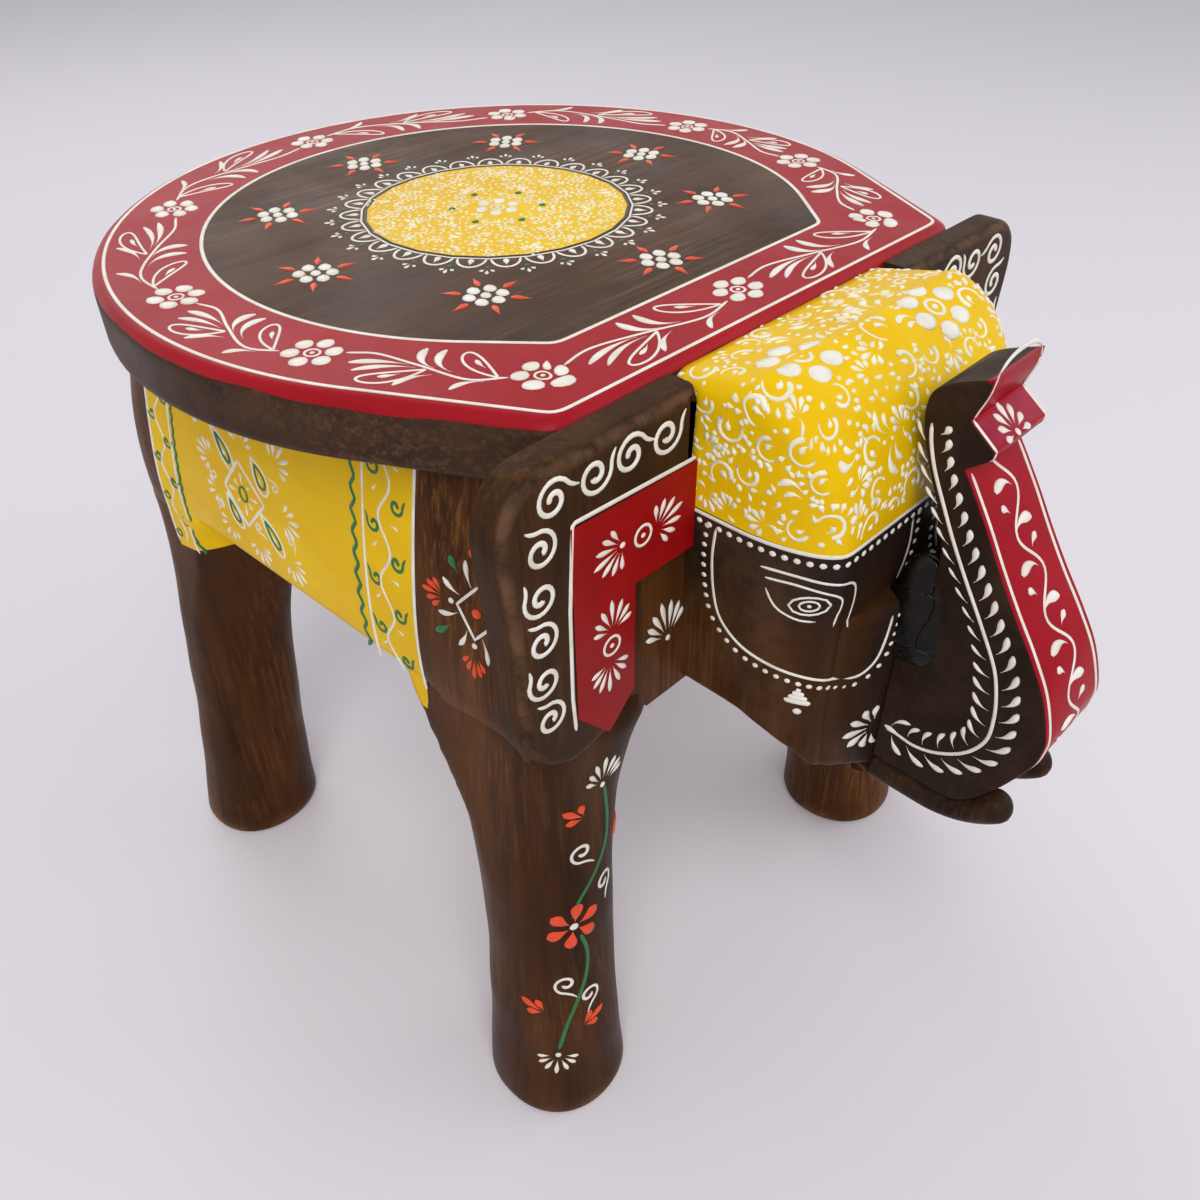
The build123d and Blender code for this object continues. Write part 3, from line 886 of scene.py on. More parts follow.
def wood_material(name: str, wood: LacqueredWood, coats: Sequence[tuple[str, Enamel]] = ()) -> Material:
    """Lacquered wood, with areas of enamel over it.

    Args:
        name: The material's name.
        wood: The wood.
        coats: For each area the mesh attribute that is its inside distance in millimetres,
            and its enamel; later ones lie on top.

    Returns:
        The material.
    """
    shader = Shader(name)
    colour, bare = wood.colour(shader), wood.finish(shader)
    covered = None
    for mask, enamel in coats:
        area = shader.ramp(shader.attribute(mask), -0.12, 0.12)
        colour = shader.mix(area, colour, enamel.shade(shader))
        covered = area if covered is None else shader.math("MAXIMUM", covered, area)
    shader.set({"Base Color": colour})
    if coats:
        gloss = shader.ramp(shader.noise(40.0, 4.0, 0.6), 0.3, 0.7, 0.30, 0.42)
        shader.set({"Roughness": shader.node("Mix", {0: covered, 2: bare, 3: gloss}).outputs[0]})
        coats[0][1].relief(shader)
        shader.bump(covered, 0.5, 0.00025)
    return shader.material


@cache
def enamel_material(name: str, enamel: Enamel) -> Material:
    """A plain coat of enamel, made once per name.

    Args:
        name: The material's name.
        enamel: Its colours.

    Returns:
        The material.
    """
    shader = Shader(name)
    shader.set({"Base Color": enamel.shade(shader), "Specular IOR Level": 0.11,
                "Roughness": shader.ramp(shader.noise(40.0), 0.3, 0.7, 0.30, 0.42)})
    enamel.relief(shader)
    return shader.material


@cache
def raised_material(paint: Paint) -> Material:
    """Thick glossy paint from a cone, a little uneven in tone, made once per paint.

    Args:
        paint: The paint.

    Returns:
        The material.
    """
    shader = Shader("raised_" + paint.name.lower())
    r, g, b = paint.value
    tone = shader.ramp(shader.noise(120.0, 3.0, 0.5), 0.35, 0.7)
    shader.set({"Base Color": shader.mix(tone, (r, g, b), (r * 0.84, g * 0.82, b * 0.76)), "Roughness": 0.36,
                "Specular IOR Level": 0.30, "Coat Weight": 0.10})
    shader.bump(shader.noise(300.0, 2.0, 0.5), 0.15, 0.0003)
    return shader.material


@cache
def pitch_material() -> Material:
    """Glossy black filler with drying cracks: the distance to the edges of warped cells.

    Returns:
        The material.
    """
    shader = Shader("black_pitch")
    pushed = {0: (1.0, 0.6, 0.8), "Scale": shader.math("MULTIPLY", shader.noise(60.0, 3.0, 0.6), 0.018)}
    push = shader.node("VectorMath", pushed, operation="SCALE").outputs[0]
    warped = shader.node("VectorMath", {0: shader.place, 1: push}, operation="ADD").outputs[0]
    cells = shader.node("TexVoronoi", feature="DISTANCE_TO_EDGE")
    shader.put(cells, {"Vector": warped, "Scale": 48.0})
    crack = shader.ramp(cells.outputs["Distance"], 0.0, 0.022)
    tone = shader.ramp(shader.noise(80.0, 4.0, 0.6), 0.4, 0.7)
    body = shader.mix(tone, (0.003, 0.0025, 0.002), (0.012, 0.007, 0.005))
    shader.set({"Base Color": shader.mix(crack, (0.002, 0.002, 0.002), body), "Specular IOR Level": 0.15,
                "Roughness": shader.ramp(shader.noise(140.0, 3.0), 0.35, 0.65, 0.16, 0.42)})
    shader.bump(shader.noise(130.0, 5.0, 0.65), 0.6, 0.0016)
    shader.bump(crack, 0.6, 0.0007)
    return shader.material


def coat(made: Piece, material: Material) -> None:
    """Give a mesh its only material."""
    made.data.materials.clear()
    made.data.materials.append(material)


def dress(made: Piece, material: Material, slot: str, *nodes: str) -> None:
    """Give a piece its material and its body, and hide the nodes it stands for.

    Args:
        made: The piece.
        material: Its material.
        slot: Record slot of its finish; not used.
        nodes: Frame nodes it replaces.
    """
    coat(made, material)
    if nodes:
        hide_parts(*nodes)
    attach(made, "root")
    LOG.info("%s: %d faces", made.name, len(made.data.polygons))


@dataclass
class Ornament:
    """Strokes on one face, sorted by paint."""

    name: str
    face: Face
    slot: str
    strokes: dict[Paint, Strokes] = field(default_factory=dict)
    rise: float = 0.42

    def add(self, paint: Paint, *strokes: Iterable[Stroke]) -> None:
        """Add strokes of one paint."""
        for group in strokes:
            self.strokes.setdefault(paint, []).extend(group)

    def place(self, paint: Paint, motif: Strokes, x: float, y: float, heading: float = 0.0,
              flip: bool = False) -> None:
        """Add a motif drawn about the origin, mirrored if flip, turned to a heading and moved."""
        self.add(paint, turned(motif, x, y, heading, 1.0, flip))

    def build(self) -> None:
        """Make one piece per paint."""
        for paint, strokes in self.strokes.items():
            made = paint_object(f"{self.name}_{paint.name.lower()}", self.face, strokes, self.rise)
            dress(made, raised_material(paint), self.slot)


# ------------------------------------------------------------------ shapes of the stool
class GridFace(Face):
    """A face read off an even grid of its points, straight between neighbours."""

    step = 1.0

    def __init__(self, grid: Array, start: Numbers, pitch: Numbers, centre: Numbers) -> None:
        self.grid, self.start, self.pitch = grid, start, pitch
        self.centre = np.array(centre, float)

    def point(self, p: Array, q: Array) -> Array:
        """Mix of the four grid points about (p, q), by the areas opposite to them.

        Args:
            p: First coordinate.
            q: Second coordinate.

        Returns:
            Points (..., 3).
        """
        rows, columns = self.grid.shape[:2]
        a = np.clip((np.asarray(p, float) - self.start[0]) / self.pitch[0], 0, rows - 1.001)
        b = np.clip((np.asarray(q, float) - self.start[1]) / self.pitch[1], 0, columns - 1.001)
        i, j = a.astype(int), b.astype(int)
        u, v = (a - i)[..., None], (b - j)[..., None]
        g = self.grid
        near = g[i, j] * (1 - v) + g[i, j + 1] * v
        return near * (1 - u) + (g[i + 1, j] * (1 - v) + g[i + 1, j + 1] * v) * u

    def outward(self, here: Array) -> Array:
        """Away from the middle of the shape."""
        return here - self.centre


def slab_object(name: str, outline: Array, place: Callable[[Array, Array], Array],
                levels: Sequence[Pair]) -> Piece:
    """A board: one outline stacked at several levels, each drawn in by its own inset.

    A point moves in along the mean of its two edge normals.

    Args:
        name: The object's name.
        outline: Closed outline (n, 2) without a repeated end point, anticlockwise.
        place: Turns flat points and a level into points in space.
        levels: Pairs of inset and level from one face of the board to the other.

    Returns:
        The object.
    """
    ahead = np.roll(outline, -1, 0) - outline
    normal = np.stack([-ahead[:, 1], ahead[:, 0]], 1)
    normal /= np.linalg.norm(normal, axis=1, keepdims=True) + 1e-9
    mean = normal + np.roll(normal, 1, 0)
    mean /= np.maximum((mean**2).sum(1, keepdims=True) / 2, 0.6)
    rows = [place(outline + mean * inset, np.full(len(outline), level)) for inset, level in levels]
    count = len(outline)
    ends = np.arange(count)[None]
    faces = [grid_faces(len(levels), count), ends[:, ::-1], ends + (len(levels) - 1) * count]
    made = new_object(name, np.vstack(rows), faces)
    soft = np.ones(len(made.data.polygons), bool)
    soft[-2:] = False
    made.data.polygons.foreach_set("use_smooth", soft)
    made.data.set_sharp_from_angle(angle=math.radians(40))
    return made


def edged(corners: Points, step: float = 2.0) -> Array:
    """A closed outline of straight sides in even steps that keeps every corner.

    Args:
        corners: Corners of the outline.
        step: Length of a step in millimetres.

    Returns:
        Points without a repeated end.
    """
    pts = np.asarray(corners, float)
    sides = []
    for a, b in zip(pts, np.roll(pts, -1, 0)):
        count = max(1, round(float(np.linalg.norm(b - a)) / step))
        sides.append(a + (b - a) * np.linspace(0, 1, count, endpoint=False)[:, None])
    return np.vstack(sides)


def rounded_loops(depth: Array, half: Array, low: Array, top: Array, corner: Array,
                  base: float = 5.0) -> Array:
    """Upright rounded rectangles as closed loops, one for each depth ahead of the seat's centre.

    Each corner is a quarter circle: x = half - corner + corner sin t, z = top - corner + corner cos t.

    Args:
        depth: Distances ahead of the seat's centre.
        half: Half widths.
        low: Undersides.
        top: Tops.
        corner: Radii of the upper corners.
        base: Radius of the lower corners.

    Returns:
        Array (depths, points, 3).
    """
    y, h, z0, z1, c = (v.astype(float)[:, None] for v in np.broadcast_arrays(depth, half, low, top, corner))
    t = np.radians(np.linspace(0, 90, 8))[None]

    def share(count: int) -> Array:
        """Even shares from 0 up to but without 1."""
        return np.linspace(0, 1, count, endpoint=False)[None]

    top_run, wall, under = share(12), share(34)[:, 1:], share(8)[:, 1:]
    x = np.hstack([(h - c) * top_run, h - c + c * np.sin(t), h + 0 * wall, h - base + base * np.cos(t),
                   (h - base) * (1 - under), 0 * h])
    z = np.hstack([z1 + 0 * top_run, z1 - c + c * np.cos(t), z1 - c + (z0 - z1 + c + base) * wall,
                   z0 + base - base * np.sin(t), z0 + 0 * under, z0])
    right = np.stack([x, np.broadcast_to(-y, x.shape), z], -1)
    return np.concatenate([right, right[:, -2:0:-1] * (-1, 1, 1)], 1)


def rolled(radius: float, low: float, high: float, both: bool = True) -> list[Pair]:
    """Levels of a board with rounded edges: quarter circles of inset against level.

    Args:
        radius: Radius of the rounding.
        low: Level of the first face.
        high: Level of the second face.
        both: Whether the first edge is rounded too.

    Returns:
        Pairs of inset and level.
    """
    turn = np.radians(np.linspace(0, 90, 6))
    top = [(radius * (1 - math.cos(t)), high - radius * (1 - math.sin(t))) for t in turn]
    if not both:
        return [(0.0, low)] + top
    return [(inset, low + high - level) for inset, level in top[::-1]] + top


@dataclass
class SeatShape:
    """Plan of the seat: a round back whose sides run straight to two front corners."""

    radius: float = SEAT_RADIUS
    front: float = SEAT_FRONT
    corner: float = 103.0
    line_inset: float = 5.0
    line_corner: Pair = (98.4, 126.9)
    field_inset: float = 38.4
    field_corner: Pair = (68.5, 96.2)
    edge_round: float = 5.0
    scallops: int = 28
    disc: Triple = (-1.0, 6.0, 50.6)
    pinch: float = 110.0
    insets: tuple[int, ...] = (7, 10, 14, 19, 25, 31, 36, 41, 48, 56, 64, 73, 83, 93, 100, 104, 112, 125, 140)

    def outline(self, inset: Array | float, angle: Array) -> Array:
        """Point of the plan outline at an inset.

        The radius in a direction is the circle's behind the tangent points and ahead of them
        the lesser of side line radius / cos(angle - tangent) and front line y / cos(angle),
        joined by a power mean that rounds the corner.

        Args:
            inset: Distance in from the seat's edge.
            angle: Direction from the front, towards +x.

        Returns:
            Points (x, y).
        """
        keys = (0.0, self.line_inset, self.field_inset, self.radius)
        reach = np.maximum(self.radius - inset, 1e-3)
        corner_x = np.interp(inset, keys, (self.corner, self.line_corner[0], self.field_corner[0], 0.0))
        corner_y = np.interp(inset, keys, (self.front, self.line_corner[1], self.field_corner[1], 0.0))
        far = np.hypot(corner_x, corner_y)
        tangent = np.arctan2(corner_x, corner_y) + np.arccos(np.clip(reach / np.maximum(far, reach), 0, 1))
        a = np.abs(np.mod(angle + math.pi, 2 * math.pi) - math.pi)
        side = reach / np.maximum(np.cos(a - tangent), 0.2)
        ahead = np.where(np.cos(a) > 0.15, corner_y / np.maximum(np.cos(a), 0.15), side * 8)
        n = self.pinch
        pinched = (side**-n / reach**-n + ahead**-n / reach**-n) ** (-1 / n) * reach
        r = np.where(a >= tangent, reach, pinched)
        return np.stack([r * np.sin(angle), -r * np.cos(angle)], -1)


class Seat:
    """The seat board with its red border, painted field and yellow disc."""

    def __init__(self, shape: SeatShape) -> None:
        self.shape = shape
        self.face = FlatFace((0, 0, SEAT_TOP), (1, 0, 0), (0, 1, 0), (0, 0, 1))

    def board(self) -> None:
        """The board: rings of the plan outline from under its middle round to the top's middle."""
        s = self.shape
        turn = np.radians(np.linspace(0, 90, 7))
        r = s.edge_round
        levels = [(120.0, SEAT_UNDER), (60.0, SEAT_UNDER), (3.0, SEAT_UNDER), (1.2, SEAT_UNDER + 0.4),
                  (0.3, SEAT_UNDER + 1.4), (0.0, SEAT_UNDER + 3.0)]
        levels += [(0.0, z) for z in np.linspace(SEAT_UNDER + 5, SEAT_TOP - r - 0.5, 6)]
        levels += [(r * (1 - math.cos(t)), SEAT_TOP - r * (1 - math.sin(t))) for t in turn]
        levels += [(d, SEAT_TOP) for d in s.insets]
        angle = np.linspace(-math.pi, math.pi, 240, endpoint=False)
        inset, level = np.array(levels).T
        flat = s.outline(inset[:, None], np.broadcast_to(angle, (len(levels), 240)))
        grid = stacked(flat, level)
        worn = 0.35 * np.sin(angle * 7 + 1) * np.sin(angle * 3)
        grid[:16, :, 2] += worn * smooth(level[:16], SEAT_UNDER, SEAT_TOP - 4)[:, None]
        made = tube_object("seat_wood", grid)
        depth = SEAT_TOP - grid[..., 2]
        ragged = 3.3 + 0.5 * np.sin(angle * 5 + 0.4) + 0.35 * np.sin(angle * 13 + 2)
        ragged = ragged + 0.2 * np.sin(angle * 31)
        below = np.where(inset[:, None] < r + 0.1, ragged - depth, s.field_inset - inset[:, None])
        under = np.where(level[:, None] < SEAT_UNDER + 4, -5.0, below)
        store(made, "red", under)
        x, y, radius = s.disc
        on_disc = radius - np.hypot(grid[..., 0] - x, grid[..., 1] - y)
        store(made, "yellow", np.where(depth < 0.1, on_disc, -9.0))
        store(made, "wear", np.clip(1 - np.abs(depth - 11) / 12, 0, 1) * 0.15 + smooth(depth, 19, 22) * 0.3)
        store(made, "stain", np.where(level[:, None] < SEAT_TOP - 1, 0.35, 0.0) * np.ones(240))
        wood = LacqueredWood(dark=(0.034, 0.0145, 0.0070), middle=(0.094, 0.042, 0.020),
                             light=(0.200, 0.100, 0.050), grain=(0.10, 1.0, 1.0), specular=0.08)
        material = wood_material("seat_lacquer", wood, [("red", RED), ("yellow", YELLOW)])
        dress(made, material, "seat_lacquer", "seat_board")

    def border(self) -> None:
        """Two ruled lines and a vine of flowers, leaves and commas between them."""
        s = self.shape
        made = Ornament("seat_border", self.face, "seat_lacquer")
        angle = np.linspace(-math.pi, math.pi, 721)
        for inset, width in ((s.line_inset, 1.5), (s.field_inset, 1.7)):
            made.add(WHITE, line(s.outline(inset, angle), width, False, True))
        middle = (s.line_inset + s.field_inset) / 2
        run = s.outline(middle, np.linspace(0, 2 * math.pi, 721))
        vine = RibbonFace(self.face, run, True)
        centres = np.radians([0, 38.5, 69, 99, 138, 180, 222, 261, 291, 321.5, 360])
        found = s.outline(middle, centres)
        stops = np.array([vine.run[np.linalg.norm(vine.line - c, axis=1).argmin()] for c in found])
        stops[-1] = vine.length
        ribbon = Ornament("seat_vine", vine, "seat_lacquer")
        rng = np.random.default_rng(SEED)
        for a, b in zip(stops[:-1], stops[1:]):
            ribbon.place(WHITE, flower(6.6, 2.95), a, 0, rng.uniform(0, 60))
            ribbon.add(WHITE, *self.vine_between(a + 9.5, b - 9.5, rng))
        ribbon.build()
        made.build()

    def vine_between(self, a: float, b: float, rng: Random) -> list[Strokes]:
        """Stem, leaves and touches of the border between two flowers.

        The stem falls across the band in an S; a leaf and its touches spring from it on the
        outer side of its first half and on the inner side of its second half.

        Args:
            a: Where it starts along the band.
            b: Where it ends.
            rng: Random source.

        Returns:
            Stroke groups.
        """
        gap = b - a

        def at(share: float, q: float) -> Pair:
            """Place at a share of the gap, a little off by hand."""
            return a + gap * share + rng.uniform(-0.3, 0.3), q + rng.uniform(-0.3, 0.3)

        def touches(*rows: tuple[Pair, Pair, float, float]) -> None:
            """Touches from a tail to a head, each with a width and a bow."""
            for tail, head, width, bow in rows:
                made.append(touch(at(*tail), at(*head), width, bow))

        stem = through([at(0.0, 3.4), at(0.20, 5.6), at(0.48, 0.4), at(0.78, -5.8), at(1.0, -3.0)], 60)
        made = [line(stem, 1.25)]
        touches(((0.42, 0.4), (0.08, -1.8), 2.9, -0.08), ((0.46, -1.2), (0.13, -6.2), 2.6, -0.10))
        for tail, tip in ((at(0.52, -1.8), at(0.20, -11.0)), (at(0.95, -3.4), at(0.70, 10.2))):
            made.append(paisley(tail, tip, 7.6, 1.15, 0.06))
            made.append(touch(between(tail, tip, 0.38), between(tail, tip, 0.70), 2.0, 0.06))
        touches(((0.58, -4.6), (0.40, -12.6), 2.5, -0.12), ((0.57, -0.4), (0.46, 11.6), 3.4, 0.22),
                ((0.68, -2.4), (0.575, 11.4), 3.2, 0.22), ((0.88, -6.6), (0.72, -12.6), 2.4, -0.15))
        return made

    def field(self) -> None:
        """Stars round a ring of scallops about the yellow disc, and the disc's dense curls."""
        x, y, radius = self.shape.disc
        made = Ornament("seat_field", self.face, "seat_lacquer")
        made.add(BLACK, ring(radius + 0.2, 1.1, x, y))
        made.add(WHITE, ring(radius + 1.9, 1.0, x, y))
        count = self.shape.scallops
        darts = 9000
        t = np.radians(np.linspace(-92, 92, 13))
        arch = np.stack([radius + 2.2 + 7.4 * np.cos(t), 5.1 * np.sin(t)], 1)
        for k in range(count):
            a = 360 / count * k
            middle = a + 180 / count
            made.place(WHITE, line(arch, 1.25), x, y, a)
            made.place(WHITE, drop(5.2, 2.7), *polar(radius + 7.6, a, x, y), a + 180)
            made.add(GREEN, dot(0.95, *polar(radius + 9.4, middle, x, y)))
            made.place(WHITE, fan(3, 5.2, 84, 1.7, 1.4), *polar(radius + 10.4, middle, x, y), middle)
        for k in range(8):
            a = math.radians(45 * k + 2)
            star = (x + 86 * math.cos(a), y + 82 * math.sin(a))
            made.place(WHITE, petals(5.7, 2.6) + dot(2.1), *star, 13 * k)
            for ray in range(6):
                made.place(ORANGE, turned(drop(7.6, 2.8), 15.8, 0, 180), *star, 60 * ray + 13 * k)
        made.place(WHITE, petals(6.6, 2.5) + ring(2.6, 1.0) + dot(1.0), x, y, 12)
        beads = [polar(17.5, 60 * k + 20, x, y) for k in range(6)]
        for bead in beads:
            made.add(GREEN, dot(1.5, *bead))
        rng = np.random.default_rng(SEED + 1)
        taken = np.array([(x, y, 12.5)] + [(*bead, 3.4) for bead in beads])
        box = (x - radius, y - radius, x + radius, y + radius)

        def on_disc(margin: float) -> Callable[[Array], Array]:
            """A test for places on the disc, a margin in from its edge."""
            return lambda d: np.hypot(d[:, 0] - x, d[:, 1] - y) < radius - margin

        spots = sprinkle(darts, on_disc(4.0), box, 7.6, rng, taken)
        made.add(CREAM, *filling(spots, 3.2, 1.35, rng))
        taken = np.vstack([taken, np.c_[spots, np.full(len(spots), 3.5)]])
        spots = sprinkle(darts, on_disc(1.6), box, 2.3, rng, taken)
        made.add(CREAM, *(dot(rng.uniform(0.5, 0.85), *spot) for spot in spots))
        made.build()

    def build(self) -> None:
        """Board and ornament."""
        self.board()
        self.border()
        self.field()


def filling(spots: Array, radius: float, width: float, rng: Random) -> list[Strokes]:
    """Scrolls, sprays of drops and paired touches about scattered places.

    Args:
        spots: Places.
        radius: Radius of a scroll.
        width: Width of its line.
        rng: Random source.

    Returns:
        Stroke groups.
    """
    made: list[Strokes] = []
    r, w = radius, width
    for place in spots:
        kind, angle = rng.random(), rng.uniform(0, 360)
        flip, size = rng.random() < 0.5, rng.uniform(0.82, 1.08)
        if kind < 0.66:
            motif = scroll(r, w, 3 + int(rng.integers(3)))
        elif kind < 0.86:
            motif = fan(5, r * 1.7, 130, w * 1.3, r * 0.35) + touch((0, 0), (-r, 0.3 * r), w, 0.25)
        else:
            motif = touch((-r, 0), (r * 0.9, r * 0.3), w * 1.6, 0.28)
            motif += touch((-r * 0.9, -r * 0.5), (r * 0.4, -r * 0.5), w * 1.3, 0.2)
        made.append(turned(motif, *place, angle, size, flip))
    return made


@dataclass
class BodyShape:
    """The carved barrel: half widths and rump by height, and the joints of its blocks."""

    heights: tuple[float, ...] = (BELLY_BOTTOM, BELLY_BOTTOM + 20, BELLY_BOTTOM + 60, SEAT_UNDER)
    front_half: tuple[float, ...] = (120.5, 121.0, 113.0, 101.0)
    side_half: tuple[float, ...] = (122.0, 123.0, 119.5, 113.0)
    haunch_half: tuple[float, ...] = (126.0, 127.0, 125.0, 121.0)
    back: tuple[float, ...] = (127.0, 129.0, 127.0, 122.0)
    rump_round: tuple[float, ...] = (28.0, 32.0, 41.0, 50.0)
    shoulder: float = 80.0
    front: float = SEAT_FRONT
    belly_round: Pair = (14.0, 9.0)
    leg_middles: Pair = (98.0, -112.0)
    paint_side: float = 97.0
    paint_front: float = -80.0
    paint_rear: Knots = ((185, 93.2), (197, 94.6), (219, 92.2), (245, 87.2), (270, 82.6), (301, 76.0))
    paint_bottom: Knots = ((16, 196), (44, 197), (62, 193), (79, 188), (100, 183))

    def at(self, values: Numbers, z: Array) -> Array:
        """Cubic through the four sections, by Lagrange's formula.

        Args:
            values: One number per section.
            z: Heights.

        Returns:
            Numbers at those heights.
        """
        total = np.zeros(np.shape(z))
        for i, (zi, value) in enumerate(zip(self.heights, values)):
            term = np.full(np.shape(z), float(value))
            for j, zj in enumerate(self.heights):
                if j != i:
                    term = term * (z - zj) / (zi - zj)
            total = total + term
        return total

    def wall(self, y: Array, z: Array) -> Array:
        """Half width of the barrel at (y, z): two straight runs, then the rump's arc.

        Args:
            y: Places along the body.
            z: Heights.

        Returns:
            Half widths.
        """
        z = np.clip(z, self.heights[0], self.heights[-1])
        fh, sh, hh = (self.at(v, z) for v in (self.front_half, self.side_half, self.haunch_half))
        rr = self.at(self.rump_round, z)
        end = self.at(self.back, z) - rr
        ahead = fh + (sh - fh) * (y + self.front) / (self.front - self.shoulder)
        beside = sh + (hh - sh) * (y + self.shoulder) / (end + self.shoulder)
        arc = hh - rr + np.sqrt(np.maximum(rr**2 - np.maximum(y - end, 0) ** 2, 0))
        return np.where(y < -self.shoulder, ahead, np.where(y < end, beside, arc))

    def ring(self, z: float, inset: float) -> Array:
        """Plan outline at a height, all of it moved in by an inset.

        Args:
            z: Height.
            inset: Distance in from the wall.

        Returns:
            Closed outline (points, 2).
        """
        sections = (self.front_half, self.side_half, self.haunch_half, self.back, self.rump_round)
        fh, sh, hh, back, rr = (float(self.at(section, np.array(z))) for section in sections)
        end = back - rr
        a = np.radians(np.linspace(0, 90, 15))[1:]
        half = np.vstack([
            np.stack([np.linspace(0, fh, 12)[:-1], np.full(11, -self.front)], 1),
            np.stack([np.linspace(fh, sh, 14)[:-1], np.linspace(-self.front, -self.shoulder, 14)[:-1]], 1),
            np.stack([np.linspace(sh, hh, 44), np.linspace(-self.shoulder, end, 44)], 1),
            np.stack([hh - rr + rr * np.cos(a), end + rr * np.sin(a)], 1),
            np.stack([np.linspace(hh - rr, 0, 12)[1:], np.full(11, back)], 1),
        ])
        loop = np.vstack([half, half[-2:0:-1] * (-1, 1)])
        way = np.roll(loop, -1, 0) - np.roll(loop, 1, 0)
        normal = np.stack([-way[:, 1], way[:, 0]], 1)
        normal /= np.linalg.norm(normal, axis=1, keepdims=True)
        return loop + normal * inset

    def yellow(self, points: Array) -> Array:
        """Distance inside the painted saddle cloth in millimetres, negative outside it.

        Args:
            points: Points (..., 3).

        Returns:
            Distances.
        """
        x, y, z = points[..., 0], points[..., 1], points[..., 2]
        rear_z, rear_y = np.array(self.paint_rear).T
        low_y, low_z = np.array(self.paint_bottom).T
        inside = np.minimum(y - self.paint_front, np.interp(z, rear_z, rear_y) - y)
        inside = np.minimum(inside, z - np.interp(y, low_y, low_z))
        return np.minimum(inside, np.abs(x) - self.paint_side)


@dataclass
class LegShape:
    """A leaning leg: round and flared at the foot, squarer where it meets the body.

    Each of its two spreads is its greatest width, the height where it starts and its power.
    """

    foot: Pair
    top: Pair
    top_half: Pair
    power: float
    belly: float
    height: float = BELLY_BOTTOM
    stations: tuple[float, ...] = (0.0, 36.0, 88.0, 150.0, 186.0)
    halves: tuple[float, ...] = (29.2, 26.8, 25.3, 25.3, 26.4)
    inner: Triple = (6.0, 158.0, 2.6)
    under: Triple = (15.0, 100.0, 1.8)
    round_power: float = 2.1

    def sizes(self, z: Array) -> tuple[Array, ...]:
        """Half widths and roundness at a height, on smooth curves through the stations.

        Args:
            z: Heights.

        Returns:
            Half width across, half width along and the section's power.
        """
        knots_z = (*self.stations, self.height)
        *waist, hip = self.halves
        found = []
        for last in self.top_half:
            middle = (hip + waist[-1] + (last - waist[-1]) * (2 / 3)) / 2
            dense = through(list(zip(knots_z, (*waist, middle, last))), 121)
            found.append(np.interp(z, dense[:, 0], dense[:, 1]))
        power = self.round_power + (self.power - self.round_power) * smooth(z, 150, self.height)
        return found[0], found[1], power

    def point(self, turn: Array, z: Array, side: Side) -> Array:
        """Point at an angle from the outer side towards the front.

        The section is |x|^n + |y|^n = 1 stretched to the half widths. Towards the belly it
        spreads inwards and along it by powers of the height, as the underside runs into the leg,
        but never past the outer side, which stays flush with the barrel.

        Args:
            turn: Angle in radians.
            z: Height.
            side: Side of the elephant.

        Returns:
            Points.
        """
        turn, z = np.broadcast_arrays(turn, z)
        half_x, half_y, n = self.sizes(z)
        share = np.clip(z / self.height, 0, 1.06)
        late = np.clip((share - 0.6) / 0.4, 0, 1)
        eased = share + 0.4 * 1.3 * late**2 * (1 - late)
        x = self.foot[0] + (self.top[0] - self.foot[0]) * eased
        y = self.foot[1] + (self.top[1] - self.foot[1]) * share
        ux, uy = np.cos(turn), -np.sin(turn)
        norm = (np.abs(ux) ** n + np.abs(uy) ** n) ** (-1 / n)

        def spread(size: float, start: float, power: float, way: Array) -> Array:
            """How far the section is pushed out on one side, from a height up to the belly."""
            rise = np.clip((z - start) / (self.height - start), 0, 1.05)
            return size * rise**power * np.clip(way, 0, 1) ** 0.8

        grown = 1 + np.maximum(spread(*self.inner, -ux), spread(*self.under, uy * self.belly)) / half_x
        across = np.minimum(norm * ux * grown, 1.0)
        return np.stack([side.value * (x + half_x * across), y + half_y * norm * uy * grown, z], -1)


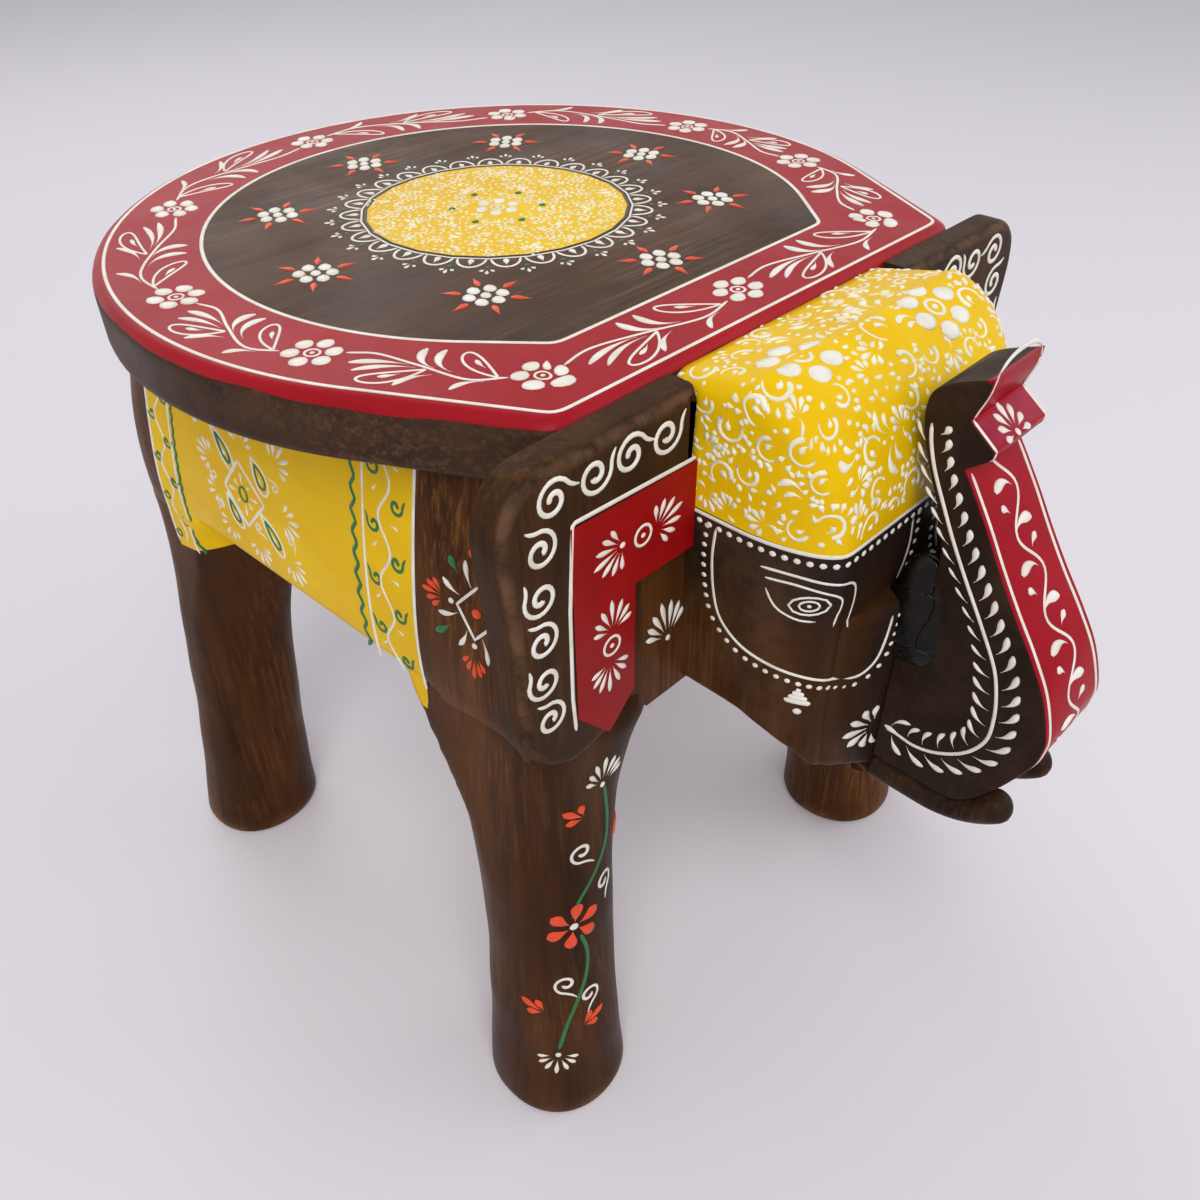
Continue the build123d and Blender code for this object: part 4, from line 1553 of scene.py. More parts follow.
class Body:
    """Barrel and legs, with the painted cloth on the flanks."""

    def __init__(self, shape: BodyShape) -> None:
        self.shape = shape
        self.front = LegShape((110.0, -123.0), (97.5, -110.7), (24.5, 29.2), 3.4, 1.0)
        self.rear = LegShape((118.0, 108.0), (99.0, 100.0), (27.0, 27.0), 2.1, -1.0)
        wood = LacqueredWood(roughness=0.38)
        self.material = wood_material("body_lacquer", wood, [("yellow", YELLOW)])

    def barrel(self) -> None:
        """The barrel: plan outlines stacked from the belly's flat up to the seat.

        The belly's edge is rounded by a quarter ellipse, but stays square beside the legs.
        """
        s = self.shape
        low, high = s.heights[0], s.heights[-1]
        rows = [s.ring(low + 0.2, inset) for inset in (70.0, 40.0, 24.0)]
        levels = [low + 0.9, low + 0.6, low + 0.3]
        inward, upward = s.belly_round
        for t in np.radians(np.linspace(0, 90, 7)):
            z = low + upward * (1 - math.cos(t))
            plain = s.ring(z, 0)
            clear = np.min([np.abs(plain[:, 1] - y) for y in s.leg_middles], 0)
            free = smooth(clear, 22, 40)[:, None]
            rows.append(plain + free * (s.ring(z, inward * (1 - math.sin(t))) - plain))
            levels.append(z)
        for z in np.linspace(low + 12, high, 32):
            rows.append(s.ring(z, 0))
            levels.append(z)
        grid = stacked(np.stack(rows), np.array(levels))
        grid[10:] = carved(grid[10:], 0.12, SEED + 2, 0.03)
        grid[-1, :, 2] = high
        made = tube_object("body_wood", grid)
        made.data.set_sharp_from_angle(angle=math.radians(35))
        store(made, "yellow", s.yellow(grid))
        wear = smooth(np.abs(np.array(levels) - (low + 5))[:, None], 7, 0) * 0.5
        store(made, "wear", np.broadcast_to(wear, grid.shape[:2]))
        dress(made, self.material, "body_lacquer", "body_core", "belly_side_left", "belly_side_right")

    def leg_grid(self, leg: LegShape, side: Side, turns: Array, heights: Array) -> Array:
        """Carved points of a leg for angles and heights, as (heights, angles, 3)."""
        grid = leg.point(turns[None, :], heights[:, None], side)
        plain = smooth(heights, 150, 186)[:, None, None]
        return carved(grid, 0.5, SEED + 3, 0.03) * (1 - plain) + grid * plain

    def legs(self) -> None:
        """Four legs, each a tube with a worn foot edge that runs up into the barrel."""
        turns = np.linspace(0, 2 * math.pi, 96, endpoint=False)
        heights = np.r_[0.0, 0.5, 1.3, 2.6, np.linspace(6, self.shape.heights[0], 50), 209.0, 214.0, 219.0]
        inset = np.r_[2.6, 1.4, 0.6, 0.1, np.zeros(51), 2.0, 5.0]
        for side in Side:
            for leg, end in ((self.front, "front"), (self.rear, "rear")):
                name = f"leg_{end}_{side.word}"
                grid = self.leg_grid(leg, side, turns, heights)
                middle = grid.mean(1, keepdims=True)
                reach = np.linalg.norm((grid - middle)[..., :2], axis=2, keepdims=True)
                grid = middle + (grid - middle) * (1 - inset[:, None, None] / np.maximum(reach, 1))
                grid[:, :, 2] = heights[:, None]
                made = tube_object(name + "_wood", grid)
                store(made, "yellow", self.shape.yellow(grid))
                store(made, "wear", np.broadcast_to(smooth(heights, 9, 0)[:, None] * 0.7, grid.shape[:2]))
                dress(made, self.material, "leg_lacquer", name)

    def flank_face(self, side: Side) -> GridFace:
        """The painted flank: p runs forward, q up; barrel and leg, whichever stands further out.

        Args:
            side: Side of the elephant.

        Returns:
            The face.
        """
        step, rear, lowest = 1.5, -130.0, 178.0
        forward = np.arange(rear, 131.5, step)
        up = np.arange(lowest, 301.5, step)
        y, z = np.meshgrid(-forward, up, indexing="ij")
        x = self.shape.wall(y, z)
        turns = np.radians(np.linspace(89, -89, 120))
        for k in np.flatnonzero(up < 202):
            found = self.rear.point(turns, np.full(120, up[k]), Side.LEFT)
            order = np.argsort(found[:, 1])
            beside = np.interp(y[:, k], found[order, 1], found[order, 0])
            held = (y[:, k] > found[:, 1].min()) & (y[:, k] < found[:, 1].max())
            x[held, k] = beside[held]
        return GridFace(np.stack([side.value * x, y, z], -1), (rear, lowest), (step, step), (0, 0, 240))

    def flank(self, side: Side) -> None:
        """Borders, vine, zigzag and the diamond of drops on one flank.

        Args:
            side: Side of the elephant.
        """
        made = Ornament(f"flank_{side.word}", self.flank_face(side), "body_lacquer")
        top, low, leaf_step = 299.5, 208.0, 10.4
        for forward, width in ((80, 1.7), (54.7, 1.5)):
            made.add(WHITE, line([(forward, low - 2), (forward, top)], width, False))
        z = np.arange(low, top, 0.75)
        wave = 65.5 + 2.9 * np.sin((z - 226) / 12.6 * math.pi)
        made.add(WHITE, line(np.stack([wave, z], 1), 1.35, False))
        for k, height in enumerate(np.arange(214.0, 296.0, leaf_step)):
            out = 1 if k % 2 else -1
            made.place(GREEN, curl(3.3, 1.05, 2.0, 3.2), 66 - out * 5.6, height, 90 + 100 * out, out > 0)
            made.place(WHITE, comma(4.0, 1.4, 60), 66 + out * 6.5, height + 2, 90 + out * 60)
        teeth = np.arange(low, top, 4.2)
        zig = np.stack([49.6 + 1.3 * (np.arange(len(teeth)) % 2 * 2 - 1), teeth], 1)
        made.add(GREEN, line(zig, 2.0, False))

        def edge(z: Array) -> Array:
            """How far forward the cloth's rear edge is at a height."""
            rear_z, rear_y = np.array(self.shape.paint_rear).T
            return -np.interp(z, rear_z, rear_y)

        z = np.linspace(187, top, 40)
        teeth = 18.6 + 1.1 * (np.arange(40) % 2)
        for paint, off, width in ((WHITE, 0.4, 1.6), (WHITE, 16.4, 1.4), (GREEN, teeth, 1.9)):
            made.add(paint, line(np.stack([edge(z) + off, z], 1), width, False))
        z = np.linspace(190, top, 120)
        wave = edge(z) + 8.4 + 2.6 * np.sin((z - 190) / 12.0 * math.pi)
        made.add(WHITE, line(np.stack([wave, z], 1), 1.3, False))
        for k, height in enumerate(np.arange(193.0, 296.0, leaf_step)):
            out = 1 if k % 2 else -1
            base = float(edge(height)) + 8.4
            made.place(GREEN, curl(3.0, 1.0, 1.8, 2.8), base + out * 4.6, height, 90 - 100 * out, out < 0)
        self.diamond(made)
        made.build()

    def diamond(self, made: Ornament) -> None:
        """The flank's centre motif: a lozenge with a star in it, four leaves, fans and curls.

        Args:
            made: Ornament that gets it.
        """
        corners = np.array([(-20.3, 257.7), (-6, 244.2), (-20.8, 228.7), (-32.5, 243)])
        centre = corners.mean(0)
        made.add(WHITE, line(np.vstack([corners, corners[:1]]), 1.5, False))
        made.add(GREEN, ring(2.5, 1.2, *centre, 1.25))
        for angle in range(0, 360, 45):
            made.place(WHITE, touch((3.9, 0), (6.8 if angle % 90 else 9.5, 0), 1.6), *centre, angle)
        for tail, tip, width, bow in (
                ((-36.5, 267.0), (-24.8, 251.6), 9.0, 0.04), ((-10.6, 263.0), (-3.6, 249.4), 10.5, 0.05),
                ((-32.0, 239.6), (-25.4, 225.6), 8.6, -0.05), ((-10.0, 239.6), (1.4, 224.6), 9.4, 0.04)):
            made.add(WHITE, paisley(tail, tip, width, 1.4, bow))
            made.add(GREEN, paisley(tail, tip, width, 1.6, bow, 0.62))
            made.add(WHITE, touch(between(tail, tip, 0.45), between(tail, tip, 0.68), 1.5))
        for x, z, heading, count, long in (
                (-39, 251, 160, 6, 11.5), (-38, 238, 205, 5, 9.5), (-17, 264.5, 84, 6, 11),
                (3.5, 265, 40, 6, 12), (5.0, 244, -8, 6, 12), (5.4, 225, -48, 6, 12),
                (-16, 223, -80, 6, 11), (-34, 224, -130, 5, 10), (-42, 266, 130, 5, 9.5)):
            made.place(WHITE, fan(count, long, 130, 2.2, 3.0), x, z, heading)
        for x, z, heading, flip in ((3, 255.5, 70, False), (-40, 244.5, 200, True), (-13, 231.5, 250, False),
                                    (-38.5, 231, 160, False), (9, 235, 0, True)):
            made.place(WHITE, curl(2.5, 1.1, 1.4, 3.2), x, z, heading, flip)

    def shoulder(self, side: Side) -> None:
        """The small star of strokes on the shoulder, beside the ear.

        Args:
            side: Side of the elephant.
        """
        made = Ornament(f"shoulder_{side.word}", self.flank_face(side), "leg_lacquer")
        x, y = 108.0, 253.4
        made.add(ORANGE, dot(1.9, x, y))
        square = np.array([(0, 9.6), (8.4, 0), (0, -9.6), (-8.4, 0), (0, 9.6)]) + (x, y)
        made.add(WHITE, line(square, 1.3, False))
        for k in range(4):
            turn, odd = 90 * k, k % 2
            made.add(WHITE, dot(1.2, *polar(11 + odd, turn, x, y)))
            made.place(ORANGE, fan(5, 10.5, 84, 2.3, 3.0), *polar(13.5 + odd, turn, x, y), turn)
            for off, reach in ((21, 17.4), (65, 16.4)):
                made.place(WHITE, touch((8.4, 0), (reach, 0), 2.3, 0.08), x, y, turn + off)
            made.place(GREEN, touch((14.0, 0), (23.0 - 3 * odd, 0), 3.2, 0.06), x, y, turn + 39)
        made.build()

    def leg_vine(self, side: Side) -> None:
        """The climbing flower on the outer front of a front leg.

        Args:
            side: Side of the elephant.
        """
        radius, pitch, first = 26.0, math.radians(2.5), -0.6
        lowest, step = 4.0, 2.0
        turns = np.arange(first, 2.8, pitch)
        heights = np.arange(lowest, 200.0, step)
        grid = np.transpose(self.leg_grid(self.front, side, turns, heights), (1, 0, 2))
        centre = (side.value * 104.0, -117.0, 110.0)
        face = GridFace(grid, (first * radius, lowest), (pitch * radius, step), centre)
        made = Ornament(f"leg_vine_{side.word}", face, "leg_lacquer")

        def at(angle: float, z: float) -> Pair:
            """Pattern place of an angle about the leg in degrees and a height."""
            return math.radians(180 + angle) * radius, z

        stem = ((-80.5, 178), (-74.5, 160), (-77, 146.5), (-90, 135.5), (-105, 127), (-112, 119))
        lower = ((-105, 108), (-99, 97), (-101, 84), (-112, 69), (-122, 57), (-130, 43))
        for knots in (stem, lower):
            made.add(GREEN, line([at(*knot) for knot in knots], 2.0))
        made.place(WHITE, fan(7, 13.5, 124, 2.3, 3.5, 1.3), *at(-83, 179.5), 86)
        made.place(WHITE, fan(7, 12, 150, 2.2, 3.5, 1.4), *at(-131, 39), -96)
        x, y = at(-111, 114)
        for k in range(6):
            made.place(ORANGE, drop(9.5, 6.4, 2.4), x, y, 60 * k + 20)
        made.add(WHITE, dot(1.9, x, y))
        for angle, z, heading, flip in ((-103, 152, 200, False), (-76, 127, 20, True), (-121, 82, 190, False),
                                        (-99, 70, 10, True)):
            made.place(WHITE, curl(5.2, 1.2, 2.0, 6.5), *at(angle, z), heading, flip)
        for angle, z, heading in ((-101, 169, 140), (-62, 142, 30), (-140, 66, 150), (-108, 53, 20)):
            made.place(ORANGE, fan(3, 12, 64, 3.6, 1.5), *at(angle, z), heading)
        made.build()

    def build(self) -> None:
        """Barrel, legs and their ornament on both sides."""
        self.barrel()
        self.legs()
        for side in Side:
            self.flank(side)
            self.shoulder(side)
            self.leg_vine(side)


@dataclass
class HeadShape:
    """The crowned head block, its jaw and its chin."""

    half: float = 57.0
    bottom: float = 205.5
    back_top: float = 319.5
    crown_top: float = 328.0
    crown: float = 160.0
    forehead: float = 192.5
    brow: float = 284.0
    front_half: float = 44.0
    back_round: float = 8.0
    front_round: float = 13.0
    border: float = 280.0

    def __post_init__(self) -> None:
        a = np.linspace(0, math.pi / 2, 400)
        depth = self.crown + (self.forehead - self.crown) * np.sin(a)
        top = self.brow + (self.crown_top - self.brow) * np.cos(a)
        run = run_of(np.stack([depth, top], 1))
        self.straight = self.crown - SEAT_FRONT
        self.turns = (run + self.straight, a)
        self.length = float(run[-1]) + self.straight

    def section(self, v: Array) -> tuple[Array, ...]:
        """The upright section at a length along the crown.

        Behind the crown the section rises gently. Ahead of it the depth follows the sine and
        the half width and top the cosine of an angle that runs from 0 to 90 degrees.

        Args:
            v: Lengths along the crown.

        Returns:
            Depth, half width, top and corner radius.
        """
        a = np.interp(v, *self.turns)
        ease = smooth(v, -12, self.straight + 10)
        depth = self.crown + (self.forehead - self.crown) * np.sin(a)
        depth = np.where(v < self.straight, SEAT_FRONT + v, depth)
        half = self.front_half + (self.half - self.front_half) * np.cos(a)
        top = self.brow + (self.crown_top - self.brow) * np.cos(a)
        rising = self.crown_top - (self.crown_top - self.back_top) * (1 - ease)
        top = np.where(v < self.straight, rising, top)
        return depth, half, top, self.back_round + (self.front_round - self.back_round) * np.sin(a)

    def low(self, depth: Array) -> Array:
        """Underside: flat at the back, then falling along the muzzle."""
        depths = (self.crown, 166, 176, 186, self.forehead)
        return np.interp(depth, depths, (self.bottom, 205.0, 201.0, 195.5, 187.5))

    def wrap(self, u: Array, v: Array) -> Array:
        """Point at a length u over the section from the crown's middle line and v along it.

        Args:
            u: Lengths over the section.
            v: Lengths along the crown.

        Returns:
            Points (..., 3).
        """
        u, v = np.broadcast_arrays(u, v)
        depth, half, top, corner = self.section(v)
        far = np.abs(u)
        flat = half - corner
        arc = corner * math.pi / 2
        turn = np.clip((far - flat) / corner, 0, math.pi / 2)
        x = np.where(far < flat, far, flat + corner * np.sin(turn))
        z = np.where(far < flat, top, top - corner * (1 - np.cos(turn)))
        z = z - np.maximum(far - flat - arc, 0)
        return np.stack([np.sign(u) * x, -depth, z], -1)

    def girth(self, side: Side) -> GridFace:
        """Cheek and face as one band: p is the length forward from the ear, q the height.

        Below the brow the band leaves the face and runs out along the muzzle.

        Args:
            side: Side of the elephant.

        Returns:
            The face.
        """
        step, lowest, jaw_round = 1.5, 183.0, 5.0
        heights = np.arange(lowest, 327.0, step)
        nose = np.array([(22.0, -200.0), (0.0, -200.0)])
        v = np.r_[np.linspace(0, self.straight, 12)[:-1], np.linspace(self.straight, self.length, 60)]
        depth, half, top, corner = self.section(v)
        over = np.clip(heights[:, None] - (top - corner), 0, corner)
        x = half - corner + np.sqrt(np.maximum(corner**2 - over**2, 0))
        under = np.clip(self.low(depth) + jaw_round - heights[:, None], 0, jaw_round)
        x = x - jaw_round + np.sqrt(np.maximum(jaw_round**2 - under**2, 0))
        rows = []
        for k in range(len(heights)):
            plan = np.stack([x[k], -depth], 1)
            plan = np.vstack([plan, nose if heights[k] < 251 else [(0.0, -self.forehead)]])
            run = run_of(plan)
            s = np.arange(0, 111.0, step)
            across = np.interp(s, run, plan[:, 0]) * side.value
            rows.append(np.stack([across, np.interp(s, run, plan[:, 1]), np.full(len(s), heights[k])], 1))
        return GridFace(np.stack(rows, 1), (0.0, lowest), (step, step), (0, -150, 245))

    def cap(self) -> GridFace:
        """The crown and the upper cheeks unrolled about the crown's middle line."""
        step, far = 2.0, 110.0
        u = np.arange(-far, far + 1, step)
        v = np.arange(0.0, self.length, step)
        return GridFace(self.wrap(u[:, None], v[None, :]), (-far, 0.0), (step, step), (0, -150, 270))


class Head:
    """Head block, muzzle and chin, their paint and the pitch in the corner by the trunk."""

    def __init__(self, shape: HeadShape) -> None:
        self.shape = shape
        wood = LacqueredWood(middle=(0.074, 0.028, 0.0080), roughness=0.36)
        self.material = wood_material("head_lacquer", wood, [("yellow", YELLOW)])

    def block(self) -> None:
        """The head: rounded sections from the seat to the forehead, closed by the flat face."""
        s = self.shape
        v = np.r_[np.linspace(0, s.straight, 10)[:-1], np.linspace(s.straight, s.length, 34)]
        depth, half, top, corner = s.section(v)
        loop = rounded_loops(depth, half, s.low(depth), top, corner)
        middle = np.array([0, -s.forehead, 245.0])
        front = [middle + (loop[-1] - middle) * k for k in (0.86, 0.6, 0.3)]
        grid = np.concatenate([loop, np.stack(front)], 0)
        grid[3:] = carved(grid, 0.10, SEED + 4, 0.035)[3:]
        grid[..., 1] = np.minimum(grid[..., 1], -SEAT_FRONT)
        made = tube_object("head_wood", grid)
        store(made, "yellow", grid[..., 2] - s.border)
        store(made, "stain", 0.85 * smooth(grid[..., 2], 236, 274))
        store(made, "wear", smooth(np.abs(grid[..., 0]), 46, 57) * 0.2)
        dress(made, self.material, "head_lacquer", "head_block")

    def snout(self) -> None:
        """The muzzle that tapers to the trunk and the chin under it.

        The muzzle's sections run on a smooth curve through five knots of depth, half width,
        underside and top.
        """
        knots = [(180, 45, 200, 249), (187, 44.5, 195, 251), (192.5, 43.6, 187.3, 252),
                 (196.2, 33, 181.5, 252), (200, 22, 176.5, 250)]
        dense = evenly(through(knots, 200), 40)
        grid = rounded_loops(dense[:, 0], dense[:, 1], dense[:, 2], dense[:, 3], np.full(40, 6.0))
        grid[:-1] = carved(grid, 0.10, SEED + 6, 0.035)[:-1]
        made = tube_object("muzzle_wood", grid)
        store(made, "yellow", np.full(grid.shape[:2], -5.0))
        store(made, "stain", 0.75 * smooth(-grid[..., 1] + 0.5 * np.sin(grid[..., 2] * 0.9), 194.5, 199))
        dress(made, self.material, "head_lacquer", "head_block")
        under = through([(-174, 206.5), (-179, 194), (-184, 180), (-190, 170.5), (-200, 168.1)], 30)
        chin = edged(np.vstack([under, [(-200, 230), (-174, 230)]]), 2.0)[::-1]
        levels = rolled(6.0, -20.5, 20.5)
        made = slab_object("chin_wood", chin, lambda flat, level: np.c_[level, flat], levels)
        store(made, "yellow", np.full(len(made.data.vertices), -5.0))
        store(made, "stain", np.full(len(made.data.vertices), 0.35))
        dress(made, self.material, "head_lacquer", "head_block")

    def pitch(self) -> None:
        """A lump of pitch on each side of the trunk: a superellipsoid, pushed in and out."""
        rise = np.radians(np.linspace(-88, 88, 40))
        tall, around = np.meshgrid(rise, np.linspace(0, 2 * math.pi, 64, endpoint=False), indexing="ij")
        wide = np.cos(tall) ** 0.8 * (1 - 0.28 * np.sin(tall))
        x, y = (wide * np.abs(flat) ** 0.75 * np.sign(flat) for flat in (np.cos(around), np.sin(around)))
        for side in Side:
            lump = (side.value * (15.0 + 5.8 * x), -203.0 + 11.5 * y - np.sin(tall), 247 + 21 * np.sin(tall))
            made = tube_object(f"pitch_{side.word}", carved(np.stack(lump, -1), 1.3, SEED + 7, 0.09))
            dress(made, pitch_material(), "head_lacquer")

    def cheek(self, side: Side) -> None:
        """Eye, harness, cap border and the small tear under the eye.

        Args:
            side: Side of the elephant.
        """
        face = self.shape.girth(side)
        made = Ornament(f"cheek_{side.word}", face, "head_lacquer")
        z = self.shape.border
        made.add(WHITE, line([(0.6, z - 1.2), (30, z - 1.0), (62, z - 0.6), (109, z - 0.6)], 1.7))
        for s in np.arange(2.5, 108, 3.9):
            made.add(WHITE, dot(1.15, s, z - 4.0))
        rear = through([(20.8, 276), (20.0, 264.4), (21.4, 251.6), (24.8, 242.2), (33.0, 235.8), (44, 232.9),
                        (58.4, 231.3), (66, 229.6), (75.5, 226.2), (80.5, 227.3), (84.0, 231), (86, 238),
                        (87.2, 247.5)], 240)
        ahead = through([(97.5, 252.5), (100.2, 258), (101.6, 265.3), (100.6, 275)], 60)
        for harness in (rear, ahead):
            made.add(WHITE, line(harness, 1.4))
            beads = RibbonFace(face, harness)
            for s in np.arange(1.0, beads.length, 3.7):
                x, y = beads.flat(np.array(s), np.array(-3.4))
                made.add(WHITE, dot(1.05, float(x), float(y)))
        eye = (54.7, 260.4)
        t = np.linspace(0, 2 * math.pi, 33)
        for wide, tall, width in ((6.4, 3.4, 1.0), (3.2, 1.9, 0.95)):
            lid = np.stack([eye[0] + wide * np.cos(t), eye[1] + tall * np.sin(t) + 0.2 * wide * np.cos(t)], 1)
            made.add(WHITE, line(lid, width, False, True))
        made.add(WHITE, dot(0.75, *eye))
        brow = [(38.1, 269.9), (46, 270.5), (53.3, 270.3), (65.0, 268.6), (70.6, 265.6), (71.7, 260.2),
                (70.8, 255.3), (69.0, 250.2)]
        upper = [(39.9, 266.5), (50.2, 267.3), (60.5, 265.6), (64.6, 263.2), (64.9, 260.2), (63.8, 257.4),
                 (62.8, 253.0)]
        lower = [(40.4, 262.6), (42.6, 258.6), (45.6, 255.9), (51.6, 254.3), (57.3, 254.8)]
        for points, width in ((brow, 1.2), (upper, 1.1), (lower, 1.0)):
            made.add(WHITE, line(points, width))
        for a, b, width in ((50.8, 59.4, 2.3), (52.0, 58.2, 2.4), (53.2, 57.0, 2.4), (54.2, 55.8, 2.2)):
            height = 220.6 + (a - 50.8) * 1.45
            made.add(WHITE, line([(a, height), (b, height - 0.3)], width))
        made.add(WHITE, dot(1.5, 55.5, 216.4))
        made.build()

    def cap(self) -> None:
        """Two flowers and a dense filling of curls on the yellow cap."""
        face = self.shape.cap()
        made = Ornament("cap", face, "head_lacquer")
        blooms = [(-34.0, 29.0), (25.0, 38.0)]
        for place in blooms:
            made.place(WHITE, flower(9.2, 3.9), *place, 14)
        made.place(WHITE, scroll(6.4, 1.7, 6), -1.0, 34.0, 120)
        rng = np.random.default_rng(SEED + 5)
        taken = np.array([(*place, 15.5) for place in blooms] + [(-1.0, 34.0, 11.0)])
        shape = self.shape

        def above(darts: Array) -> Array:
            """Whether a place lies on the crown or forehead, clear of the edges."""
            found = face.point(darts[:, 0], darts[:, 1])
            half, corner = shape.section(darts[:, 1])[1::2]
            clear = (found[:, 2] > shape.border + 3.4) & (found[:, 1] < -SEAT_FRONT - 3.5)
            return clear & (np.abs(darts[:, 0]) < half - corner * 0.2)

        self.fill(made, above, (-70, 0, 70, shape.length - 1), rng, taken)
        made.build()

    def temple(self, side: Side) -> None:
        """The same filling on the cap's upright side, up to the rounded edge of the crown.

        Args:
            side: Side of the elephant.
        """
        shape = self.shape
        face = shape.girth(side)
        made = Ornament(f"temple_{side.word}", face, "head_lacquer")
        depth, _, top, corner = shape.section(np.linspace(0, shape.length, 200))

        def beside(darts: Array) -> Array:
            """Whether a place lies between the cap's border and the crown's edge."""
            at = -face.point(darts[:, 0], darts[:, 1])[:, 1]
            limit = np.interp(at, depth, top) - np.interp(at, depth, corner) * 0.55
            return (darts[:, 1] > shape.border + 3.4) & (darts[:, 1] < limit - 1.5)

        rng = np.random.default_rng(SEED + 8)
        self.fill(made, beside, (2.5, shape.border, 68, 325), rng, np.zeros((0, 3)))
        made.build()

    def fill(self, made: Ornament, inside: Callable[[Array], Array], box: Numbers, rng: Random,
             taken: Array) -> None:
        """Scrolls and sprays on free places, then small drops and dots in the gaps.

        Args:
            made: Ornament that gets them.
            inside: Says which places are in the region.
            box: Lowest and highest p and q.
            rng: Random source.
            taken: Places (x, y, clear radius) already used.
        """
        darts = 16000
        spots = sprinkle(darts, inside, box, 9.4, rng, taken)
        made.add(CREAM, *filling(spots, 4.4, 1.85, rng))
        taken = np.vstack([taken, np.c_[spots, np.full(len(spots), 5.9)]])
        spots = sprinkle(darts, inside, box, 3.3, rng, taken)
        for spot in spots:
            if rng.random() < 0.6:
                made.place(CREAM, drop(3.2, 1.9), *spot, rng.uniform(0, 360))
            else:
                made.add(CREAM, dot(rng.uniform(0.7, 1.1), *spot))

    def build(self) -> None:
        """Head block, muzzle, chin, pitch and ornament."""
        self.block()
        self.snout()
        self.pitch()
        self.cap()
        for side in Side:
            self.temple(side)
            self.cheek(side)


@dataclass
class EarShape:
    """L-shaped ear board: an arm that runs to the head and a hanging lobe."""

    back: float = SEAT_FRONT
    thickness: float = 12.0
    top: float = SEAT_TOP - 2
    head: float = 57.0
    outer: Knots = ((115, 321), (122, 320.6), (128.6, 318.2), (133.6, 312.4), (135.5, 304.7), (135.6, 296.7),
                    (134, 280.8), (132.8, 264.9), (132.5, 249), (132, 233), (130.4, 225), (127.2, 217.7),
                    (122, 211.8), (116, 208), (110.5, 206))
    inner: Knots = ((96, 209), (84, 222), (84, 265), (57, 265))
    edge: float = 5.5


class Ear:
    """One ear with its red lappet, ruled line and row of spirals."""

    def __init__(self, shape: EarShape, side: Side) -> None:
        self.shape = shape
        self.side = side
        front = -shape.back - shape.thickness
        self.face = FlatFace((0, front, 0), (-side.value, 0, 0), (0, 0, 1), (0, -1, 0))
        self.name = f"ear_{side.word}"

    def board(self) -> None:
        """The ear board, rounded along its front edge."""
        s = self.shape
        sign = self.side.value
        outer = evenly(through(s.outer, 200), 90)
        outline = edged(np.vstack([[(s.head, s.top)], outer, s.inner]), 1.5)[::-1]
        made = slab_object(self.name + "_wood", outline,
                           lambda flat, level: np.stack([sign * flat[:, 0], -level, flat[:, 1]], 1),
                           rolled(s.edge * 0.8, s.back, s.back + s.thickness, False))
        far, height = np.tile(outline, (7, 1)).T
        # Along the rounded front edge: lighter rubbed patches that are wear and partly a painted highlight on
        # the ridge, over a darker stain.
        rim = np.repeat([0.0, 0.0, 0.0, 1.0, 1.0, 0.6, 0.0], len(outline))
        store(made, "wear", 0.55 * rim)
        stain = np.clip(0.05 + 0.5 * smooth(far, 116, 133) + 0.6 * smooth(height, 296, 320), 0, 0.85)
        store(made, "stain", stain * (0.35 + 0.65 * rim))
        wood = LacqueredWood((0.020, 0.0085, 0.0030), (0.072, 0.028, 0.0075), (0.150, 0.062, 0.017))
        dress(made, wood_material("ear_lacquer", wood), "ear_lacquer", self.name)

    def lappet(self) -> None:
        """The red field: a thin coat of paint shaped like an L with a pointed end."""
        corners = [(-57.6, 296.6), (-57.6, 265.6), (-84.6, 265.6), (-84.6, 222), (-96, 210.5),
                   (-109.6, 226), (-110.4, 298.2)]
        sign = self.side.value
        front = self.shape.back + self.shape.thickness
        made = slab_object(self.name + "_lappet", edged(corners),
                           lambda flat, level: np.stack([-sign * flat[:, 0], -level, flat[:, 1]], 1),
                           [(0.0, front - 0.5), (0.0, front + 0.15), (0.4, front + 0.3)])
        dress(made, enamel_material("lappet_red", SCARLET), "ear_lacquer")

    def ornament(self) -> None:
        """Spirals round the edge, a ruled L, and fans and ringed dots on the red."""
        made = Ornament(self.name + "_paint", self.face, "ear_lacquer", rise=0.45)
        ruled = [(-57.8, 297.9), (-109.6, 300.0), (-111.6, 270), (-111.8, 236), (-110.8, 221.5)]
        made.add(WHITE, line(ruled, 1.8, False))
        row = [(-71.5, 311.3, -152), (-86.3, 311.3, 190), (-100.6, 311.4, -152), (-116.4, 310.9, 190),
               (-121.8, 297.2, -62), (-122.4, 281.4, 312), (-122.8, 265.6, -62), (-122.6, 250.2, 312),
               (-121.2, 234.0, -62)]
        for k, (x, z, heading) in enumerate(row):
            made.place(WHITE, curl(6.6, 1.45, 2.3, 4.2), x, z, heading, k % 2 == 1)
        made.build()
        front = self.shape.back + self.shape.thickness + 0.28
        lappet = FlatFace((0, -front, 0), (-self.side.value, 0, 0), (0, 0, 1), (0, -1, 0))
        made = Ornament(self.name + "_fans", lappet, "ear_lacquer", rise=0.45)
        for x, z in ((-81.0, 281.6), (-94.6, 246.9)):
            made.add(WHITE, ring(3.5, 1.3, x, z), dot(1.0, x, z))
        for x, z, heading, bud in ((-90.0, 282.8, 196, 1.2), (-75.2, 280.8, 20, 0.0), (-94.2, 252.4, 92, 0.0),
                                   (-95.4, 240.6, -92, 0.0)):
            made.place(WHITE, fan(7, 12.6, 145, 2.2, 2.6, bud), x, z, heading)
        made.build()

    def build(self) -> None:
        """Board, red field and ornament."""
        self.board()
        self.lappet()
        self.ornament()


